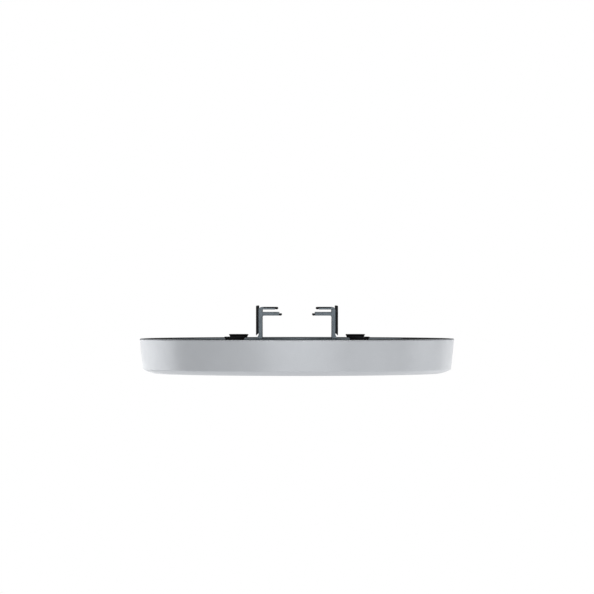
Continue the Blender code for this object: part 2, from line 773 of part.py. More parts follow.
def make_board():
    """The round main board, cut away for the bay and for the sunk jack."""
    bay_x = BAY_HALF_WIDTH + BAY_WALL + BOARD_MARGIN
    bay_low = BAY_LOW_Y - BAY_WALL - BOARD_MARGIN
    bay_high = BAY_HIGH_Y + BAY_WALL + BOARD_MARGIN
    jack_x = JACK_HALF_WIDTH + JACK_MARGIN
    jack_high = bay_high + JACK_LENGTH + GAP
    opening = [
        (-bay_x, bay_low),
        (bay_x, bay_low),
        (bay_x, bay_high),
        (jack_x, bay_high),
        (jack_x, jack_high),
        (-jack_x, jack_high),
        (-jack_x, bay_high),
        (-bay_x, bay_high),
    ]
    loops = [circle((0.0, 0.0), BOARD_RADIUS, ROUND_STEPS), opening]
    for degrees in BOARD_SCREW_DEGREES:
        loops.append(circle(polar(BOARD_SCREW_REACH, degrees), BOARD_HOLE_RADIUS))
    bottom = BOARD_TOP_Z - BOARD_THICKNESS
    return outline("main_board", loops, bottom, BOARD_TOP_Z, "board_green")


def make_jack():
    """The Ethernet jack, sunk in the board, its socket facing the bay."""
    front = BAY_HIGH_Y + BAY_WALL + JACK_MARGIN
    jack = box(
        "ethernet_jack",
        (-JACK_HALF_WIDTH, front, JACK_BOTTOM_Z),
        (JACK_HALF_WIDTH, front + JACK_LENGTH, JACK_TOP_Z),
        "tin_can",
    )
    socket = box(
        "jack_socket",
        (-SOCKET_HALF_WIDTH, front - OVERCUT, SOCKET_BOTTOM_Z),
        (SOCKET_HALF_WIDTH, front + SOCKET_DEPTH, SOCKET_TOP_Z),
    )
    cut(jack, socket)
    groove_end = front + SOCKET_DEPTH - OVERCUT
    groove = box(
        "jack_latch_groove",
        (-LATCH_GROOVE_HALF_WIDTH, front - OVERCUT, SOCKET_TOP_Z - OVERCUT),
        (LATCH_GROOVE_HALF_WIDTH, groove_end, SOCKET_TOP_Z + LATCH_GROOVE_HEIGHT),
    )
    cut(jack, groove)
    return jack


def make_reset():
    """The reset button, which slides along Y in the bay's wall, and the switch behind it."""
    wall_back = BAY_HIGH_Y + BAY_WALL
    tip = BAY_HIGH_Y - RESET_PROUD
    flange_front = wall_back + GAP
    flange_back = flange_front + RESET_FLANGE_THICKNESS
    back = flange_back + RESET_STEM_LENGTH
    profile = [
        (0.0, tip),
        (RESET_RADIUS, tip),
        (RESET_RADIUS, flange_front),
        (RESET_FLANGE_RADIUS, flange_front),
        (RESET_FLANGE_RADIUS, flange_back),
        (RESET_STEM_RADIUS, flange_back),
        (RESET_STEM_RADIUS, back),
        (0.0, back),
    ]
    local = [(radius, tip - y) for radius, y in profile]
    button = turned("reset_button", local, False, "reset_grey", steps=PIN_STEPS)
    button.rotation_euler.x = math.pi / 2
    button.location = (RESET_X, tip, RESET_Z)
    switch_front = back + RESET_TRAVEL + GAP
    switch_back = switch_front + RESET_SWITCH_LENGTH
    low = (RESET_X - RESET_SWITCH_HALF_WIDTH, switch_front, BOARD_TOP_Z + GAP)
    high = (RESET_X + RESET_SWITCH_HALF_WIDTH, switch_back, RESET_Z + RESET_SWITCH_RISE)
    return [button, box("reset_switch", low, high, "chip_black")]


def make_status_light():
    """The status light under the board and the lens that carries it through the face."""
    inner = FACE_Z + FACE_THICKNESS + GAP
    flange_top = inner + LENS_FLANGE_THICKNESS
    profile = [
        (0.0, flange_top),
        (LENS_RADIUS + LENS_FLANGE, flange_top),
        (LENS_RADIUS + LENS_FLANGE, inner),
        (LENS_RADIUS, inner),
        (LENS_RADIUS, FACE_Z + HAIR),
        (0.0, FACE_Z + HAIR),
    ]
    lens = turned("status_lens", profile, False, "clear_lens", steps=PIN_STEPS)
    lens.location.y = LENS_Y
    bottom = BOARD_TOP_Z - BOARD_THICKNESS - GAP - LIGHT_SIZE[2]
    light = block("status_light", (0.0, LENS_Y), LIGHT_SIZE, bottom, "clear_lens")
    return [lens, light]


def make_can(name, centre, size):
    """A folded tin lid, open below, that shields the chips under it."""
    bottom = BOARD_TOP_Z + GAP
    can = block(name, centre, (*size, CAN_HEIGHT), bottom, "tin_can")
    inner = (size[0] - 2 * CAN_SHEET, size[1] - 2 * CAN_SHEET, CAN_HEIGHT)
    (x, y), (width, depth, height) = centre, inner
    space = box(
        name + "_space",
        (x - width / 2, y - depth / 2, bottom - CAN_SHEET),
        (x + width / 2, y + depth / 2, bottom - CAN_SHEET + height),
    )
    cut(can, space)
    return can


def make_chips():
    """Everything that stands on top of the board as a plain block: centre, size and finish."""
    rows = (
        ("processor", (0.0290, 0.0100), (0.015, 0.015, 0.0014), "chip_black"),
        ("memory_chip_1", (0.0455, 0.0165), (0.010, 0.008, 0.0011), "chip_black"),
        ("memory_chip_2", (0.0455, 0.0035), (0.010, 0.008, 0.0011), "chip_black"),
        ("radio_chip_1", (0.0270, -0.0145), (0.009, 0.009, 0.0010), "chip_black"),
        ("radio_chip_2", (0.0420, -0.0145), (0.009, 0.009, 0.0010), "chip_black"),
        ("flash_chip", (0.0230, -0.0400), (0.008, 0.006, 0.0012), "chip_black"),
        ("clock_crystal", (0.0090, -0.0400), (0.005, 0.0032, 0.0010), "tin_can"),
        ("ethernet_magnetics", (-0.0200, 0.0205), (0.014, 0.012, 0.0055), "chip_black"),
        ("power_transformer", (-0.0420, 0.0120), (0.015, 0.014, 0.0064), "ferrite"),
        ("power_controller", (-0.0300, 0.0380), (0.006, 0.006, 0.0010), "chip_black"),
        ("inductor_1", (-0.0460, -0.0060), (0.008, 0.008, 0.0040), "ferrite"),
        ("inductor_2", (-0.0460, -0.0175), (0.008, 0.008, 0.0040), "ferrite"),
    )
    bottom = BOARD_TOP_Z + GAP
    return [block(name, centre, size, bottom, finish) for name, centre, size, finish in rows]


def make_capacitors():
    """Three round electrolytic capacitors in a row beside the bay."""
    radius, height, pitch = 0.0040, 0.0064, 0.0100
    bottom = BOARD_TOP_Z + GAP
    made = []
    for number in range(1, 4):
        place = (-0.0270, 0.0060 - pitch * number, bottom + height / 2)
        made.append(rod(f"capacitor_{number}", radius, place, height, "aluminium"))
    return made


def make_cooling():
    """The shield cans, a thermal pad on each, and the spreader under the housing's floor."""
    cans = (
        ("processor_can", (0.0360, 0.0100), (0.034, 0.026)),
        ("radio_can", (0.0345, -0.0145), (0.029, 0.018)),
    )
    spreader_top = POCKET_FLOOR_Z - POCKET_FLOOR - GAP
    spreader_foot = spreader_top - SPREADER_THICKNESS
    pad_foot = BOARD_TOP_Z + GAP + CAN_HEIGHT + GAP
    pad_height = spreader_foot - GAP - pad_foot
    made = []
    for number, (name, centre, size) in enumerate(cans, 1):
        made.append(make_can(name, centre, size))
        pad_size = (size[0] * 0.6, size[1] * 0.6, pad_height)
        made.append(block(f"thermal_pad_{number}", centre, pad_size, pad_foot, "thermal_pad"))
    low, high = (0.0180, -0.0250, spreader_foot), (0.0540, 0.0270, spreader_top)
    made.append(box("heat_spreader", low, high, "aluminium"))
    return made


def make_antennas():
    """Four stamped inverted-F antennas that stand on the board near its edge."""
    half, leg, bar, height = 0.011, 0.002, 0.003, 0.008
    feed = -0.005
    loop = [
        (-half, 0.0),
        (-half + leg, 0.0),
        (-half + leg, height - bar),
        (feed, height - bar),
        (feed, 0.0),
        (feed + leg, 0.0),
        (feed + leg, height - bar),
        (half, height - bar),
        (half, height),
        (-half, height),
    ]
    made = []
    for number, degrees in enumerate(ANTENNA_DEGREES, 1):
        edge = ANTENNA_THICKNESS / 2
        antenna = outline(f"antenna_{number}", [loop], -edge, edge, "antenna_brass", plane="XZ")
        antenna.rotation_euler.z = math.radians(degrees + 90.0)
        antenna.location = (*polar(ANTENNA_REACH, degrees), BOARD_TOP_Z + GAP)
        made.append(antenna)
    return made


def make_screws():
    """Countersunk screws from the back into the cover, and pan screws that hold the board."""
    top = RIM_Z - HAIR
    neck = top - COUNTERSUNK_HEAD_HEIGHT
    tip = top - HOUSING_SCREW_LENGTH
    countersunk = [
        (0.0, top),
        (COUNTERSUNK_HEAD_RADIUS, top),
        (HOUSING_SCREW_RADIUS, neck),
        (HOUSING_SCREW_RADIUS, tip),
        (0.0, tip),
    ]
    head_top = BOARD_TOP_Z - BOARD_THICKNESS - GAP
    head_foot = head_top - PAN_HEAD_HEIGHT
    tip = BOARD_TOP_Z + BOARD_SCREW_RISE
    pan = [
        (0.0, tip),
        (BOARD_SCREW_RADIUS, tip),
        (BOARD_SCREW_RADIUS, head_top),
        (PAN_HEAD_RADIUS, head_top),
        (PAN_HEAD_RADIUS, head_foot),
        (0.0, head_foot),
    ]
    kinds = (
        ("housing_screw", countersunk, HOUSING_SCREW_REACH, HOUSING_SCREW_DEGREES),
        ("board_screw", pan, BOARD_SCREW_REACH, BOARD_SCREW_DEGREES),
    )
    made = []
    for name, profile, reach, places in kinds:
        for number, degrees in enumerate(places, 1):
            screw = turned(f"{name}_{number}", profile, False, "zinc_steel", steps=PIN_STEPS)
            screw.location = (*polar(reach, degrees), 0.0)
            made.append(screw)
    return made


def make_access_point():
    """The whole body below the mount plate, on an empty at its twist axis."""
    pieces = [make_front_cover(), make_back_housing(), make_gasket(), make_board(), make_jack()]
    pieces += make_tile_pads()
    pieces += make_reset()
    pieces += make_status_light()
    pieces += make_chips()
    pieces += make_capacitors()
    pieces += make_cooling()
    pieces += make_antennas()
    pieces += make_screws()
    attach(pieces, make_empty("access_point_twist", (0.0, 0.0, RIM_Z)))


def main():
    make_mount_plate()
    for word, side in (("left", -1), ("right", 1)):
        make_jaw(word, side)
        make_lock_screw(word, side)
    make_access_point()


clear_scene()
PARTS = make_collection(OBJECT_NAME)
HELPERS = make_collection(OBJECT_NAME + "_cutters")
FINISH = {name: make_finish(name) for name in FINISHES}
main()
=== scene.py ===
"""Looks of the ceiling access point and its T-rail clip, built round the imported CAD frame.

Metres, +Z up. Each piece is modelled where it belongs, rides on its CAD body and stands for a
CAD node, or is a detail of one that another piece stands for.
"""

import json
import math

import bmesh
import bpy
from mathutils import Matrix, Vector


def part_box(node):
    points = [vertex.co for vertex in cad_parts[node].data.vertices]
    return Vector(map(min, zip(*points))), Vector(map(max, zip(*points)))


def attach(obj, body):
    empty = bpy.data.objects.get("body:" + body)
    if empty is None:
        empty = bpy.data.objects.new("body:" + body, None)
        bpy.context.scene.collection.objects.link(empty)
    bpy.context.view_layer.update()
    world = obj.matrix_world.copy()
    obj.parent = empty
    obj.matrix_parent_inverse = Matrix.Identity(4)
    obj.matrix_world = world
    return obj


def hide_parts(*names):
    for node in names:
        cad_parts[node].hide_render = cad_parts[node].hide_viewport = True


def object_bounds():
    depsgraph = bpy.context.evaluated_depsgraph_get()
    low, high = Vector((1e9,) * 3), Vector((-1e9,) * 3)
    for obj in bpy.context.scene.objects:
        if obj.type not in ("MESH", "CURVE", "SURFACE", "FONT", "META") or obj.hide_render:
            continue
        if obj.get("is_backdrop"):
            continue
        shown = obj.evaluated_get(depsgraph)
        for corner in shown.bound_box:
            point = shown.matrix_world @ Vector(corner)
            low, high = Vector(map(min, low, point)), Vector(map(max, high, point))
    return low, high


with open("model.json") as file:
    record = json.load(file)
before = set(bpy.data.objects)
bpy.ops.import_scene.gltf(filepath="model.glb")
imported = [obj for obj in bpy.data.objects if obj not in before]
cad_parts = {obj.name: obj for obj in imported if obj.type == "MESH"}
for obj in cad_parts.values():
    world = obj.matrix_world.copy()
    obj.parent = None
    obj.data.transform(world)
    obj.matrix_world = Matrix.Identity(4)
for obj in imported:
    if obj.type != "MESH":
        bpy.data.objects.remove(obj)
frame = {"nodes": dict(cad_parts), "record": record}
CAD_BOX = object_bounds()

# Places read from the frame.
COVER_LOW, COVER_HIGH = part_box("front_cover")
PLATE_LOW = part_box("mount_plate")[0]
JACK_LOW, JACK_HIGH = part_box("ethernet_jack")
BODY_RADIUS = COVER_HIGH.x
RIM_Z = COVER_HIGH.z
FACE_Z = COVER_LOW.z

# Mesh fineness.
ROUND_STEPS = 240
PIN_STEPS = 48
CORNER_STEPS = 5
MERGE = 0.000002

# Common clearances, the easing of edges, and the angles between the axes.
GAP = 0.0003
HAIR = 0.0001
OVERCUT = 0.001
EDGE = 0.0002
FINE_EDGE = 0.00005
DIAGONALS = (45.0, 135.0, 225.0, 315.0)

# Front cover.
WALL_FOOT_RADIUS = 0.0862
WALL_FOOT_Z = -0.0335
WALL_FOOT_ROUND = 0.0007
FACE_RADIUS = 0.0800
FACE_ROUND = 0.0060
CHAMFER_BULGE = 0.0003
CHAMFER_ROUND = 0.0150
WALL = 0.0022
FACE_THICKNESS = 0.0018
RIM_ROUND = 0.0006
GASKET_LEDGE_Z = -0.0236
GASKET_LEDGE_RADIUS = 0.0832
BOSS_RADIUS = 0.0035
BOSS_HOLE_RADIUS = 0.0014
BOSS_HOLE_DEPTH = 0.009
LENS_Y = -0.0450
LENS_RADIUS = 0.0020

# Back housing.
HOUSING_THICKNESS = 0.0020
SKIRT_FOOT_Z = -0.0220
SKIRT_FOOT_RADIUS = 0.0849
SKIRT_INNER_RADIUS = 0.0833
POCKET_WALL = 0.0015
POCKET_MOUTH_RADIUS = 0.0600
POCKET_RADIUS = 0.0645
POCKET_FLOOR_Z = -0.0213
POCKET_FLOOR = 0.0014
LEDGE_THICKNESS = 0.0012
GROOVE_RADIUS = 0.0730
GROOVE_DEPTH = 0.0003
GROOVE_WIDTH = 0.0007
BAY_HALF_WIDTH = 0.0140
BAY_LOW_Y = -0.0270
BAY_HIGH_Y = 0.0090
BAY_FLOOR_Z = -0.0322
BAY_WALL = 0.0015
BAY_FLOOR = 0.0012
JACK_WINDOW = (-0.0063, 0.0063, -0.0319, -0.0237)
RESET_HOLE_RADIUS = 0.0017
PAD_POCKET_RADIUS = 0.0052
PAD_POCKET_DEPTH = 0.0006
PAD_RINGS = (0.0012, 0.0025, 0.0038)
PAD_TAPER = 0.0010
TURN_MARK_REACH = 0.0665
TURN_MARK_SIZE = 0.0010
TURN_MARK_DEGREES = 15.0
TURN_MARK_LENGTH = 1.8

# Bayonet and mount plate.
TWIST_DEGREES = 24.0
ENTRY_HALF_DEGREES = 10.5
PLATE_RADIUS = 0.0590
PLATE_THICKNESS = 0.0015
PLATE_EDGE = 0.0002
CABLE_HOLE_RADIUS = 0.0150
TAB_DEGREES = (90.0, 210.0, 330.0)
TAB_HALF_DEGREES = 8.5
TAB_RADIUS = 0.0635
SLIT_DEGREES = 0.7
TAB_BEND_RADIUS = 0.0555
TAB_BEND_REACH = 0.0030
TAB_BEND_LEAD = 0.0006
TAB_ROUND = 0.0005
LOBE_RADIUS = 0.0700
LOBE_HALF_WIDTH = 0.0060
LOBE_CORNER = 0.0020
LOBE_SPARE = 0.0008
LOBE_SPARE_DEGREES = 8.0
TETHER_HOLE_X = -0.0650
TETHER_HOLE_RADIUS = 0.0022
CEILING_HOLE_SPREAD = 0.0350
CEILING_HOLE_RADIUS = 0.0022
BEAD_RADII = (0.0425, 0.0440)
BEAD_HALF_DEGREES = 26.0
BEAD_DEPTH = 0.0004

# Clip jaws, measured outwards from the clip's middle plane.
LEG_INNER_X = 0.0194
LEG_OUTER_X = 0.0213
LEG_CORNER = 0.0017
LEG_FLARE = 0.0009
LEG_FLARE_HEIGHT = 0.0020
JAW_DEPTH = 0.050
JAW_EDGE = 0.00018
LIP_THICKNESS = 0.0014
LIP_TIP_X = 0.01215
TRIM_REACH_X = 0.0186
TRIM_FLAP = 0.00045
STEM_DEGREES = 60.0
LOWER_LIP_THICKNESS = 0.0019
LOWER_LIP_TIP_X = 0.00997
LIP_FILLET = 0.0010
RAIL_SLOT = 0.00146
RAIL_SLOT_END_X = 0.01935
NECK_X = (0.0196, 0.0211)
NECK_Y = (0.014, 0.022)
NECK_RISE = 0.0013
JAW_INWARD = 0.007
JAW_OUTWARD = 0.009
LOCK_SCREW_X = 0.0340
LOCK_SCREW_RADIUS = 0.0020
LOCK_HEAD_HEIGHT = 0.0013
LOCK_SOCKET_RADIUS = 0.0015
LOCK_SOCKET_DEPTH = 0.0009
FOOT_SHOULDER_X = 0.0260
FOOT_TONGUE_Y = 0.0080
GRIP_SLANT = 0.0013
GRIP_PITCH = 0.0020
GRIP_GROOVE_WIDTH = 0.0008
GRIP_GROOVE_DEPTH = 0.0003

# Screws: how far out, and their angles.
HOUSING_SCREWS = (0.0780, (30.0, 150.0, 270.0))
BOARD_SCREWS = (0.0600, (90.0, 210.0, 330.0))
SCREW_HOLE_RADIUS = 0.0016
SINK_RADIUS = 0.0034
SINK_DEPTH = 0.0017
CROSS_SLOT_HALF = Vector((0.0015, 0.00025, 0.0009))
CROSS_DEGREES = (20.0, 110.0)

# Board and what it carries.
BOARD_MARGIN = 0.0005
BOARD_HOLE_RADIUS = 0.0016
ANTENNA_REACH = 0.0680
CRYSTAL_FLANGE = 0.0003
CAN_SHEET = 0.0003
VENT_PITCH = 0.0030
VENT_RADIUS = 0.0006
VENT_MARGIN = 0.0022
FIN_COUNT = 7
FIN_PITCH = 0.0045
FIN_GROOVE = (0.0014, 0.0004)
SMALL_PART_REACH = 0.0625
SMALL_PART_STEP = 3.0
SMALL_PART_HALF = (0.0004, 0.0008, 0.0006)
TINNING = 0.00003
SMALL_PART_ARCS = ((15.0, 75.0), (105.0, 165.0), (222.0, 258.0), (282.0, 318.0))
SOCKET_FOOT_Z = -0.0316
SOCKET_TOP_Z = -0.0246
SOCKET_HALF_WIDTH = 0.00595
CONTACT_PITCH = 0.00102
DIMPLE_REACH = 0.0012
DIMPLE_RADIUS = 0.0004
BALL_RADIUS = 0.00022
BALL_INSET = 0.0005
# A lead's side view, outwards from the chip and up from the board.
LEAD_BEND = [
    (-0.0002, 0.00060), (0.0004, 0.00060), (0.0007, 0.00014), (0.0012, 0.00014),
    (0.0012, 0.0), (0.00062, 0.0), (0.00032, 0.00046), (-0.0002, 0.00046),
]
# Chip, pitch of its leads or balls, and the sides with leads; without sides it has balls.
CHIPS = (
    ("processor", 0.0008, ()),
    ("memory_chip_1", 0.0008, ()),
    ("memory_chip_2", 0.0008, ()),
    ("radio_chip_1", 0.0008, ()),
    ("radio_chip_2", 0.0008, ()),
    ("power_controller", 0.0008, ()),
    ("flash_chip", 0.00127, (0, 180)),
    ("ethernet_magnetics", 0.00127, (90, 270)),
)

# Studio.
CAMERA_DISTANCE = 2.184
CAMERA_HEIGHT = 0.00694
FIELD_WIDTH = 0.33264
SENSOR_WIDTH = 36.0
FLOOR_DROP = 2.6
FLOOR_HALF_SIZE = 18.0
LIGHT_DISTANCE = 1.6
AMBIENT = 0.14
FLOOR_GLOW = 0.58
# Name, degrees round from the camera towards +X, degrees up, width, height, watts.
LIGHTS = (
    ("brow", 2.0, 6.0, 1.5, 0.33, 6.4),
    ("front", 4.0, -17.0, 1.5, 0.9, 1.3),
    ("right", 62.0, -17.0, 1.0, 0.9, 1.3),
    ("right_rear", 105.0, -17.0, 1.0, 0.9, 0.9),
    ("right_rear_level", 105.0, -6.0, 1.0, 0.33, 0.9),
    ("rear_right", 150.0, -17.0, 1.2, 0.9, 1.6),
    ("rear_right_level", 150.0, -6.0, 1.2, 0.33, 1.3),
    ("rear_left", -155.0, -17.0, 1.2, 0.9, 0.9),
    ("rear_left_level", -155.0, -6.0, 1.2, 0.33, 2.1),
    ("left_rear_level", -118.0, -6.0, 1.0, 0.33, 2.0),
    ("overhead", 0.0, 80.0, 1.6, 1.6, 10.0),
)

# What each finish looks like. Roughness varies by the unevenness up and down, colour by the
# mottling, over patches of a size in metres. The grain has a size and a depth in metres, and its
# specks vary the colour by a share. A streak stretches grain and patches along one axis.
PLAIN = dict(
    metallic=0.0, specular=0.5, unevenness=0.05, mottling=0.10, patch=0.003, grain=0.0003,
    depth=0.000008, specks=0.06, streak=(1.0, 1.0, 1.0),
)
FINISHES = dict(
    satin_white=dict(
        colour=(0.62, 0.64, 0.67), roughness=0.36, metallic=0.30, unevenness=0.025, mottling=0.015,
        patch=0.009, grain=0.00022, depth=0.0000022, specks=0.035,
    ),
    black_plastic=dict(
        colour=(0.014, 0.015, 0.016), roughness=0.66, specular=0.30, mottling=0.06, patch=0.004,
        grain=0.00032, depth=0.000016, specks=0.18,
    ),
    blue_grey_metal=dict(
        colour=(0.205, 0.245, 0.275), roughness=0.46, metallic=0.25, unevenness=0.03,
        mottling=0.035, patch=0.004, grain=0.00045, depth=0.000005, specks=0.05,
    ),
    black_rubber=dict(
        colour=(0.009, 0.009, 0.010), roughness=0.82, specular=0.25, mottling=0.15, patch=0.003,
        grain=0.00025, depth=0.000014, specks=0.20,
    ),
    zinc_steel=dict(
        colour=(0.55, 0.56, 0.57), roughness=0.34, metallic=1.0, unevenness=0.08,
        streak=(1.0, 0.12, 1.0),
    ),
    board_green=dict(
        colour=(0.018, 0.10, 0.05), roughness=0.40, mottling=0.12, patch=0.002, grain=0.0004,
        depth=0.000004,
    ),
    chip_black=dict(
        colour=(0.020, 0.020, 0.022), roughness=0.55, grain=0.00014, depth=0.000006, specks=0.15,
    ),
    tin_can=dict(
        colour=(0.62, 0.62, 0.60), roughness=0.30, metallic=1.0, unevenness=0.07, depth=0.000003,
        streak=(0.10, 1.0, 1.0),
    ),
    ferrite=dict(
        colour=(0.045, 0.045, 0.047), roughness=0.70, grain=0.00018, depth=0.000014, specks=0.20,
    ),
    thermal_pad=dict(
        colour=(0.35, 0.45, 0.60), roughness=0.85, specular=0.30, depth=0.000015,
    ),
    aluminium=dict(
        colour=(0.70, 0.70, 0.72), roughness=0.38, metallic=1.0, unevenness=0.07, depth=0.000004,
        streak=(1.0, 0.08, 1.0),
    ),
    antenna_brass=dict(
        colour=(0.70, 0.52, 0.22), roughness=0.33, metallic=1.0, unevenness=0.07, depth=0.000003,
    ),
    clear_lens=dict(
        colour=(0.85, 0.88, 0.90), roughness=0.16, unevenness=0.03, mottling=0.02, depth=0.000001,
        specks=0.02,
    ),
    reset_grey=dict(
        colour=(0.25, 0.26, 0.27), roughness=0.50, grain=0.0002, depth=0.000006, specks=0.08,
    ),
)


# Materials.


def node(tree, kind, **values):
    """A shader node with some of its inputs or settings set."""
    made = tree.nodes.new(kind)
    for key, value in values.items():
        if key in made.inputs:
            made.inputs[key].default_value = value
        else:
            setattr(made, key, value)
    return made


def noise(tree, size, streak, detail=3.0):
    """Noise in object space, so that it stays with a piece that moves."""
    place = node(tree, "ShaderNodeTexCoord")
    stretch = node(tree, "ShaderNodeMapping", Scale=streak)
    cloud = node(tree, "ShaderNodeTexNoise", Scale=1.0 / size, Detail=detail)
    tree.links.new(place.outputs["Object"], stretch.inputs["Vector"])
    tree.links.new(stretch.outputs["Vector"], cloud.inputs["Vector"])
    return cloud.outputs["Fac"]


def spread(tree, source, low, high):
    """Maps noise, which stays mostly between 0.3 and 0.7, to a range."""
    ramp = node(tree, "ShaderNodeMapRange")
    ramp.inputs["From Min"].default_value = 0.3
    ramp.inputs["From Max"].default_value = 0.7
    ramp.inputs["To Min"].default_value = low
    ramp.inputs["To Max"].default_value = high
    tree.links.new(source, ramp.inputs["Value"])
    return ramp.outputs["Result"]


def tinted(tree, colour, share, source):
    """The colour made darker and lighter by a share, after a noise."""
    mix = node(tree, "ShaderNodeMix", data_type="RGBA", blend_type="MULTIPLY")
    mix.inputs["Factor"].default_value = 1.0
    shade = spread(tree, source, 1.0 - share, 1.0 + share)
    tree.links.new(shade, mix.inputs["B"])
    if isinstance(colour, tuple):
        mix.inputs["A"].default_value = (*colour, 1.0)
    else:
        tree.links.new(colour, mix.inputs["A"])
    return mix.outputs["Result"]


def make_finish(name):
    """A Principled material with grain, mottled colour and uneven roughness."""
    look = {**PLAIN, **FINISHES[name]}
    material = bpy.data.materials.new(name)
    material.use_nodes = True
    tree = material.node_tree
    shader = tree.nodes["Principled BSDF"]
    shader.inputs["Metallic"].default_value = look["metallic"]
    shader.inputs["Specular IOR Level"].default_value = look["specular"]
    streak = look["streak"]
    grain = noise(tree, look["grain"], streak, 2.0)
    mottled = tinted(tree, look["colour"], look["mottling"], noise(tree, look["patch"], streak))
    specked = tinted(tree, mottled, look["specks"], grain)
    tree.links.new(specked, shader.inputs["Base Color"])
    uneven = spread(
        tree,
        noise(tree, look["patch"] * 0.4, streak, 5.0),
        look["roughness"] - look["unevenness"],
        look["roughness"] + look["unevenness"],
    )
    tree.links.new(uneven, shader.inputs["Roughness"])
    bump = node(tree, "ShaderNodeBump", Strength=1.0, Distance=look["depth"])
    tree.links.new(grain, bump.inputs["Height"])
    tree.links.new(bump.outputs["Normal"], shader.inputs["Normal"])
    material.diffuse_color = (*look["colour"], 1.0)
    return material


# Mesh helpers.


def polar(reach, degrees):
    angle = math.radians(degrees)
    return reach * math.cos(angle), reach * math.sin(angle)


def arc(centre, radius, start, end, steps):
    """Points along an arc, both ends included, with its angles in degrees."""
    points = []
    for i in range(steps + 1):
        x, y = polar(radius, start + (end - start) * i / steps)
        points.append((centre[0] + x, centre[1] + y))
    return points


def circle(centre, radius, steps=PIN_STEPS):
    return arc(centre, radius, 0.0, 360.0, steps)[:-1]


def sector(inner, outer, middle, half, steps=24):
    """A piece of a ring, round its middle angle."""
    outside = arc((0.0, 0.0), outer, middle - half, middle + half, steps)
    inside = arc((0.0, 0.0), inner, middle + half, middle - half, steps)
    return outside + inside


def rounded(corners, closed=True, steps=CORNER_STEPS):
    """Outline points from (x, y, corner radius), with an arc at each corner that has a radius."""
    points = []
    last = len(corners) - 1
    for i, (x, y, radius) in enumerate(corners):
        if radius == 0.0 or (not closed and i in (0, last)):
            points.append((x, y))
            continue
        here = Vector((x, y))
        back = (Vector(corners[i - 1][:2]) - here).normalized()
        ahead = (Vector(corners[(i + 1) % len(corners)][:2]) - here).normalized()
        half = back.angle(ahead) / 2
        centre = here + (back + ahead).normalized() * (radius / math.sin(half))
        reach = radius / math.tan(half)
        start = here + back * reach - centre
        end = here + ahead * reach - centre
        first = math.atan2(start.y, start.x)
        sweep = (math.atan2(end.y, end.x) - first + math.pi) % (2 * math.pi) - math.pi
        points += arc(centre, radius, math.degrees(first), math.degrees(first + sweep), steps)
    return points


def box_loop(low_x, high_x, low_y, high_y, corner=0.0):
    """A rectangle's outline with rounded corners."""
    corners = [(low_x, low_y), (high_x, low_y), (high_x, high_y), (low_x, high_y)]
    return rounded([(x, y, corner) for x, y in corners])


def mirrored(points, side):
    return [(side * x, y) for x, y in points]


def span(side, near, far):
    """Two distances from the middle, low and high, on the positive or negative side."""
    return sorted((side * near, side * far))


def ring_places(reach, angles):
    return [polar(reach, degrees) for degrees in angles]


def sizes(node_name):
    """A CAD node's low and high corner, its middle, and its half width."""
    low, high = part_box(node_name)
    return low, high, (low + high) / 2, (high.x - low.x) / 2


def new_object(name, data):
    obj = bpy.data.objects.new(name, data)
    bpy.context.scene.collection.objects.link(obj)
    return obj


def as_object(name, shape):
    """An object that takes over a bmesh."""
    mesh = bpy.data.meshes.new(name)
    shape.to_mesh(mesh)
    shape.free()
    return new_object(name, mesh)


def closed_object(name, shape):
    """An object from a bmesh whose loose doubles are welded and whose faces point outwards."""
    bmesh.ops.remove_doubles(shape, verts=shape.verts, dist=MERGE)
    bmesh.ops.recalc_face_normals(shape, faces=shape.faces)
    return as_object(name, shape)


def lathe(name, profile, closed=False, steps=ROUND_STEPS, centre=(0.0, 0.0)):
    """A solid of revolution from (radius, height) points, about an upright axis."""
    shape = bmesh.new()
    verts = [shape.verts.new((radius, 0.0, height)) for radius, height in profile]
    pairs = list(zip(verts, verts[1:]))
    if closed:
        pairs.append((verts[-1], verts[0]))
    edges = [shape.edges.new(pair) for pair in pairs]
    bmesh.ops.spin(
        shape, geom=verts + edges, axis=(0, 0, 1), angle=2 * math.pi, steps=steps, use_merge=True
    )
    bmesh.ops.translate(shape, verts=shape.verts, vec=(*centre, 0.0))
    return closed_object(name, shape)


def turned(name, corners, steps=ROUND_STEPS, centre=(0.0, 0.0), corner_steps=CORNER_STEPS):
    """A lathed solid from (radius, height, corner radius), from its axis back to its axis."""
    return lathe(name, rounded(corners, False, corner_steps), steps=steps, centre=centre)


def evaluated_mesh(obj):
    graph = bpy.context.evaluated_depsgraph_get()
    return bpy.data.meshes.new_from_object(obj.evaluated_get(graph))


def prism(name, loops, low, high, edge=0.0, plane="XY"):
    """A flat sheet between two heights (or two Y values): inner loops are holes, edges round."""
    curve = bpy.data.curves.new(name, "CURVE")
    curve.dimensions = "2D"
    curve.fill_mode = "BOTH"
    curve.extrude = (high - low) / 2 - edge
    curve.bevel_depth = edge
    curve.bevel_resolution = 1
    curve.offset = -edge
    for loop in loops:
        spline = curve.splines.new("POLY")
        spline.points.add(len(loop) - 1)
        for point, (x, y) in zip(spline.points, loop):
            point.co = (x, y, 0.0, 1.0)
        spline.use_cyclic_u = True
    source = new_object(name + "_outline", curve)
    mesh = evaluated_mesh(source)
    bpy.data.objects.remove(source, do_unlink=True)
    shape = bmesh.new()
    shape.from_mesh(mesh)
    bpy.data.meshes.remove(mesh)
    shift = (0.0, 0.0, (low + high) / 2)
    if plane == "XZ":
        bmesh.ops.rotate(shape, verts=shape.verts, matrix=Matrix.Rotation(math.pi / 2, 3, "X"))
        shift = (0.0, (low + high) / 2, 0.0)
    bmesh.ops.translate(shape, verts=shape.verts, vec=shift)
    return closed_object(name, shape)


